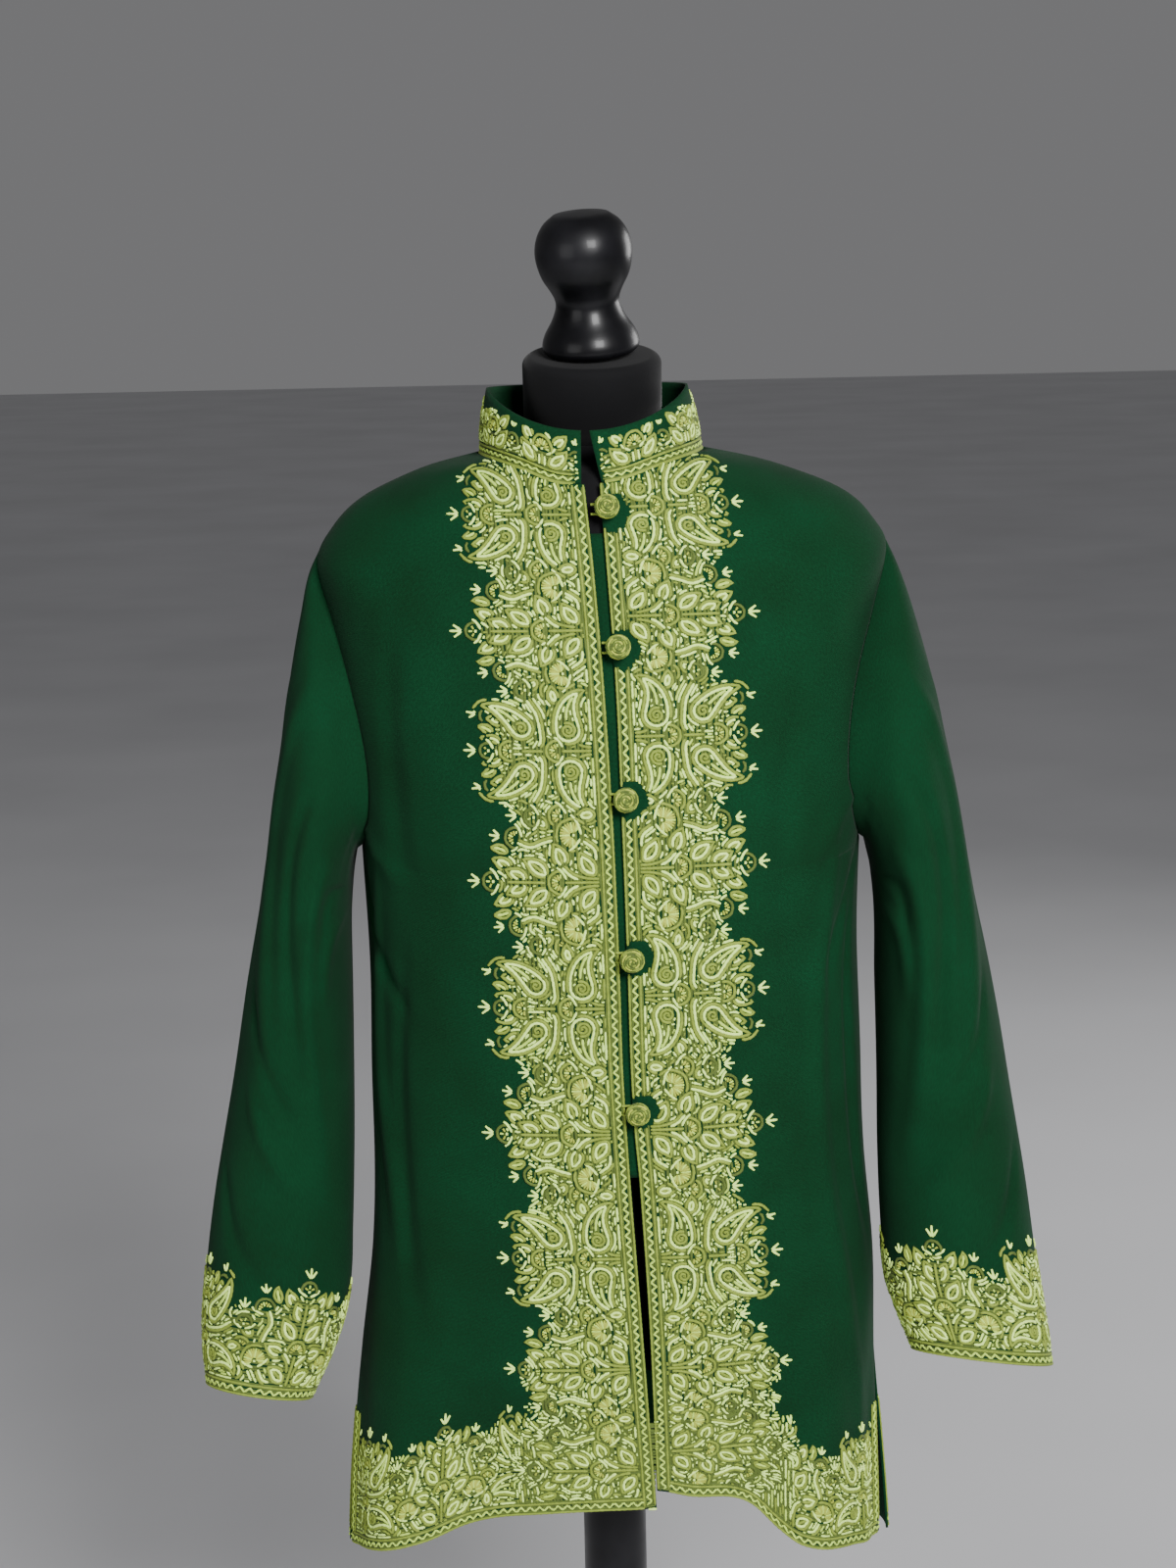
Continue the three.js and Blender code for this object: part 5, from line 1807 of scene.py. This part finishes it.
@dataclass
class Buttons:
    """Five thread-covered ball buttons with their cord loops."""

    wardrobe: Wardrobe
    body: Body
    opening: Table
    heights: tuple[float, ...] = (1367, 1275, 1173, 1061, 947)
    past_edge: float = 3.5
    shank_radius: float = 2
    shank_height: float = 3.6
    radius: float = 8.8
    height: float = 15
    cord_radius: float = 0.9
    inner: float = 3.4
    reach: float = 11
    lift: float = 0.7
    half_cloth: float = 0.9
    gap: float = 0.3
    thread_radius: float = 0.78
    turns: float = 7.6
    knit: tuple[Shade, ...] = (Shade.OLIVE, Shade.DARK, Shade.GOLD, Shade.OLIVE, Shade.DARK)

    def seat(self, z: float) -> tuple[Array, Array]:
        """Axes and origin of a button's seat.

        Args:
            z: Height of the button.

        Returns:
            Rows of the across, up and outward axes, and the origin.
        """
        height = np.array(float(z))
        angle = self.body.front_angle(self.opening.read(2, height) + self.past_edge, height)
        normal = self.body.normal(angle, height)
        across = unit(np.array([1.0, 0, 0]) - normal * normal[0])
        up = np.cross(normal, across)
        origin = self.body.point(angle, height) + normal * (self.half_cloth + self.gap)
        return np.stack([across, up, normal]), origin

    def cord(self, name: str, paths: list[tuple[Array, Shade]], radius: float) -> bpy.types.Object:
        """Make cords through points in millimetres as one mesh."""
        rows = [(path, plied(len(path)), shade) for path, shade in paths]
        return stitched(name, self.wardrobe.threads, rows, radius, 1)

    def button(self, index: int, z: float) -> list[bpy.types.Object]:
        """Make one ball with its shank and its coil of stitches."""
        axes, origin = self.seat(z)
        half = (self.height - self.shank_height) / 2
        centre = self.shank_height + half
        profile = [(0, 0), (self.shank_radius, 0), (self.shank_radius, self.shank_height + 1)]
        core, crown = self.radius - 0.8, half - 0.8
        profile += [(core * math.cos(a), centre + crown * math.sin(a)) for a in np.linspace(-1.2, 1.35, 14)]
        profile.append((0, centre + crown))
        frame = Matrix([[*axes[:, k], origin[k]] for k in range(3)] + [[0, 0, 0, 1]])
        ball = Mesher.spun(f"button_{index}_core", np.array(profile), 32, frame)
        ball.data.materials.append(self.wardrobe.threads[Shade.DARK.value])
        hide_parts(f"button_{index}")
        t = np.linspace(0, 1, 201)
        slope = math.radians(6) + t * math.radians(108)
        wide, tall = self.radius - 0.75, half - 0.75
        ring = polar(wide * np.sin(slope), math.tau * self.turns * t)
        path = np.hstack([ring, (centre + tall * np.cos(slope))[:, None]]) @ axes + origin
        runs = [(path[k:k + 5], self.knit[k // 4 % len(self.knit)]) for k in range(0, len(path) - 1, 4)]
        coil = self.cord(f"button_{index}_coil", runs, self.thread_radius)
        return [ball, coil]

    def loop(self, index: int, z: float) -> bpy.types.Object:
        """Make the cord that comes off the facing front's edge and passes round the shank."""
        axes, origin = self.seat(z)
        turn = np.linspace(-math.pi / 2, math.pi / 2, 17)
        lead = np.linspace(-self.reach, -1, 7)
        flat = np.vstack([level(lead, -self.inner), polar(self.inner, turn), level(lead[::-1], self.inner)])
        local = np.hstack([flat, np.full((len(flat), 1), self.lift + self.cord_radius)])
        path = local @ axes + origin
        piece = self.cord(f"button_loop_{index}_cord", [(path, Shade.OLIVE)], self.cord_radius)
        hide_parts(f"button_loop_{index}")
        return piece

    def build(self) -> None:
        """Make all buttons and loops."""
        for index, z in enumerate(self.heights, 1):
            self.button(index, z)
            self.loop(index, z)
        LOG.info("buttons: %d with loops", len(self.heights))


@dataclass
class DressForm:
    """Limbless form: jersey torso and neck block, lacquered finial, pole and base."""

    wardrobe: Wardrobe
    body: Body
    bottom: float = 730
    neck_radius: float = 51
    neck_tilt: float = 11
    neck_y: float = 6
    neck_z: float = 1417
    neck_height: float = 53
    chest_ease: float = 3
    ease: Table = Table((
        (730, 17), (820, 15), (950, 24), (1060, 14), (1150, 9), (1240, 11), (1290, 11), (1322, 8),
        (1340, 4.5), (1356, 1.9), (1384, 1.9), (1394, 2.6), (1401, 6)))
    finial: tuple[tuple[float, float], ...] = (
        (0, 0), (31, 0), (34, 3), (34.5, 8), (32, 15), (26.5, 24), (23, 33), (23, 39), (26, 46),
        (31, 55), (34, 66), (34.3, 75), (32, 84), (27, 92), (20, 97.5), (0, 98.5))
    finial_lean: float = 3.5
    pole_radius: float = 24
    base_radius: float = 190
    base_thickness: float = 18
    edge: float = 5
    gap: float = 0.3

    def neck_frame(self, along: float) -> Matrix:
        """Local axes at the top of the shoulders, Z running up the tilted neck."""
        tilt = math.radians(self.neck_tilt)
        axis = Vector((0, -math.sin(tilt), math.cos(tilt)))
        right = Vector((1, 0, 0))
        front = axis.cross(right)
        frame = Matrix((right, front, axis)).transposed().to_4x4()
        frame.translation = Vector((0, self.neck_y, self.neck_z)) + axis * along
        return frame

    def torso(self) -> bpy.types.Object:
        """Make the torso from rings inside the jacket."""
        heights = np.concatenate([np.linspace(self.bottom, 1320, 60), np.linspace(1324, 1400.6, 24)])
        turn = np.linspace(-180, 180, 97)
        z = heights[:, None] * np.ones((1, 97))
        angle = turn[None, :] * np.ones((len(heights), 1))
        ease = self.ease.read(1, z) + self.chest_ease * np.maximum(0, -np.sin(np.radians(angle))) ** 3
        normal = self.body.normal(angle, z, folds=False)
        points = self.body.point(angle, z, folds=False) - normal * ease[..., None]
        points[0, :, 2] = self.bottom
        rings = [points]
        frame = self.neck_frame(0)
        for wider, drop in ((6, 8), (3, 5), (1.5, 3), (0.4, 1.2), (0, 0)):
            ring = polar(self.neck_radius + wider, np.radians(turn))
            rings.append(np.array([[list(frame @ Vector((x, y, -drop))) for x, y in ring]]))
        piece = Mesher.grid("torso_jersey", np.concatenate(rings), closed=True, cap=True)
        return self.dress(piece, "torso", self.wardrobe.jersey, Slot.JERSEY)

    def dress(self, piece: bpy.types.Object, name: str, material: bpy.types.Material,
              slot: Slot) -> bpy.types.Object:
        """Give a piece its material and hide the CAD node it stands for."""
        piece.data.materials.append(material)
        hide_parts(name)
        return piece

    def turned(self, name: str, profile: Array, steps: int, frame: Matrix) -> None:
        """Spin a lacquered piece for the CAD node of its name."""
        piece = Mesher.spun(name + "_turned", profile, steps, frame)
        self.dress(piece, name, self.wardrobe.lacquer, Slot.LACQUER)

    def rounded(self, radius: float, height: float, edge: float, low: float = 0.0) -> Array:
        """Profile of a disc or block with a rounded upper edge."""
        turn = np.linspace(0, math.pi / 2, 9)
        corner = [(radius - edge * (1 - math.cos(a)), height - edge * (1 - math.sin(a))) for a in turn]
        return np.array([(0, low), (radius, low), *corner, (0, height)])

    def build(self) -> None:
        """Make every piece of the form and its stand."""
        self.torso()
        block = self.rounded(self.neck_radius - 1.3, self.neck_height, 7)
        self.dress(Mesher.spun("neck_block_jersey", block, 96, self.neck_frame(self.gap)), "neck_block",
                   self.wardrobe.jersey, Slot.JERSEY)
        lean = math.radians(self.finial_lean)
        rise = self.finial[1][0] * math.sin(lean) + 2 * self.gap
        keys = np.arange(len(self.finial) - 2, dtype=float)
        middle = Table(tuple((float(k), *p) for k, p in enumerate(self.finial[1:-1])))
        fine = np.linspace(0, keys[-1], 45)
        profile = np.vstack([[self.finial[0]], np.stack([middle.read(1, fine), middle.read(2, fine)], 1),
                             [[12, 98.2]], [[6, 98.5]], [self.finial[-1]]])
        frame = self.neck_frame(self.neck_height + rise) @ Matrix.Rotation(-lean, 4, "Y")
        self.turned("finial", profile, 80, frame)
        low = self.base_thickness + self.gap
        pole = self.rounded(self.pole_radius, self.bottom - self.gap, 1.5, low)
        self.turned("pole", pole, 96, Matrix.Identity(4))
        base = self.rounded(self.base_radius, self.base_thickness, self.edge)
        self.turned("base", base, 128, Matrix.Identity(4))
        LOG.info("dress form: five pieces")


@dataclass
class Studio:
    """Pale floor, soft light and the camera."""

    wardrobe: Wardrobe
    distance: float = 2.0
    camera_x: float = -0.009
    camera_z: float = 1.546
    pitch: float = 11.0
    roll: float = 1.2
    focal_px: float = 2830
    frame_px: float = 1600

    def build(self) -> None:
        """Make the floor, the lights, the world and the camera."""
        bm = bmesh.new()
        bmesh.ops.create_grid(bm, x_segments=8, y_segments=8, size=30)
        floor = Mesher.finish("floor", bm)
        floor.data.materials.append(self.wardrobe.floor)
        self.light("key", (1.0, -2.9, 2.6), 1.1, 198)
        self.light("fill", (-2.3, -2.7, 1.7), 2.0, 34)
        self.light("back", (2.9, 2.6, 1.9), 1.6, 66)
        world = bpy.data.worlds.new("studio")
        world.use_nodes = True
        world.node_tree.nodes["Background"].inputs["Color"].default_value = linear("#c9c9cb")
        world.node_tree.nodes["Background"].inputs["Strength"].default_value = 0.3
        bpy.context.scene.world = world
        self.camera()

    def light(self, name: str, place: tuple[float, float, float], size: float, power: float) -> None:
        """Add one soft light aimed at the jacket's middle."""
        data = bpy.data.lights.new(name, "AREA")
        data.shape = "SQUARE"
        data.size = size
        data.energy = power
        lamp = bpy.data.objects.new(name, data)
        lamp.location = place
        lamp.rotation_euler = (Vector((0, 0, 1.05)) - Vector(place)).to_track_quat("-Z", "Y").to_euler()
        bpy.context.scene.collection.objects.link(lamp)

    def camera(self) -> None:
        """Place the camera at the photograph's viewing angle."""
        pitch, roll = math.radians(self.pitch), math.radians(-self.roll)
        forward = Vector((0, math.cos(pitch), -math.sin(pitch)))
        right = Vector((1, 0, 0))
        up = right.cross(forward)
        c, s = math.cos(roll), math.sin(roll)
        right, up = right * c + up * s, up * c - right * s
        data = bpy.data.cameras.new("camera")
        data.sensor_fit = "AUTO"
        data.sensor_width = 36
        data.lens = self.focal_px / self.frame_px * data.sensor_width
        camera = bpy.data.objects.new("camera", data)
        matrix = Matrix((right, up, -forward)).transposed().to_4x4()
        matrix.translation = Vector((self.camera_x, -self.distance, self.camera_z))
        camera.matrix_world = matrix
        bpy.context.scene.collection.objects.link(camera)
        bpy.context.scene.camera = camera


def main() -> None:
    """Build the jacket, its embroidery, the form and the studio, in order."""
    logging.basicConfig(level=logging.INFO, format="%(message)s")
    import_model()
    wardrobe = Wardrobe()
    body = Body()
    fronts = [FrontPanel(wardrobe, body, side=side) for side in Side]
    back = BackPanel(wardrobe, body)
    sleeves = [Sleeve(wardrobe, body, side=side) for side in Side]
    collar = Collar(wardrobe, body)
    buttons = Buttons(wardrobe, body, fronts[0].opening)
    needle = Needlework(wardrobe.threads)

    made = [("front_right", fronts[0].cloth(), fronts[0].work(buttons.heights), "hung", "torso"),
            ("front_left", fronts[1].cloth(), fronts[1].work(buttons.heights), "hung", "torso"),
            ("back", back.cloth(), back.work(), "hung", "torso"),
            ("sleeve_right", sleeves[0].cloth(), sleeves[0].work(), "hung", "back"),
            ("sleeve_left", sleeves[1].cloth(), sleeves[1].work(), "hung", "back"),
            ("collar", collar.cloth(), collar.work(), "stretched", "back"),
            ("underlap", Underlap(wardrobe, body).cloth(fronts[0].opening), [], "hung", "front_left")]
    for name, cloth, borders, held, rests_on in made:
        rows = needle.piece(name, borders) if borders else []
    buttons.build()
    DressForm(wardrobe, body).build()
    Studio(wardrobe).build()


if __name__ == "__main__":
    main()
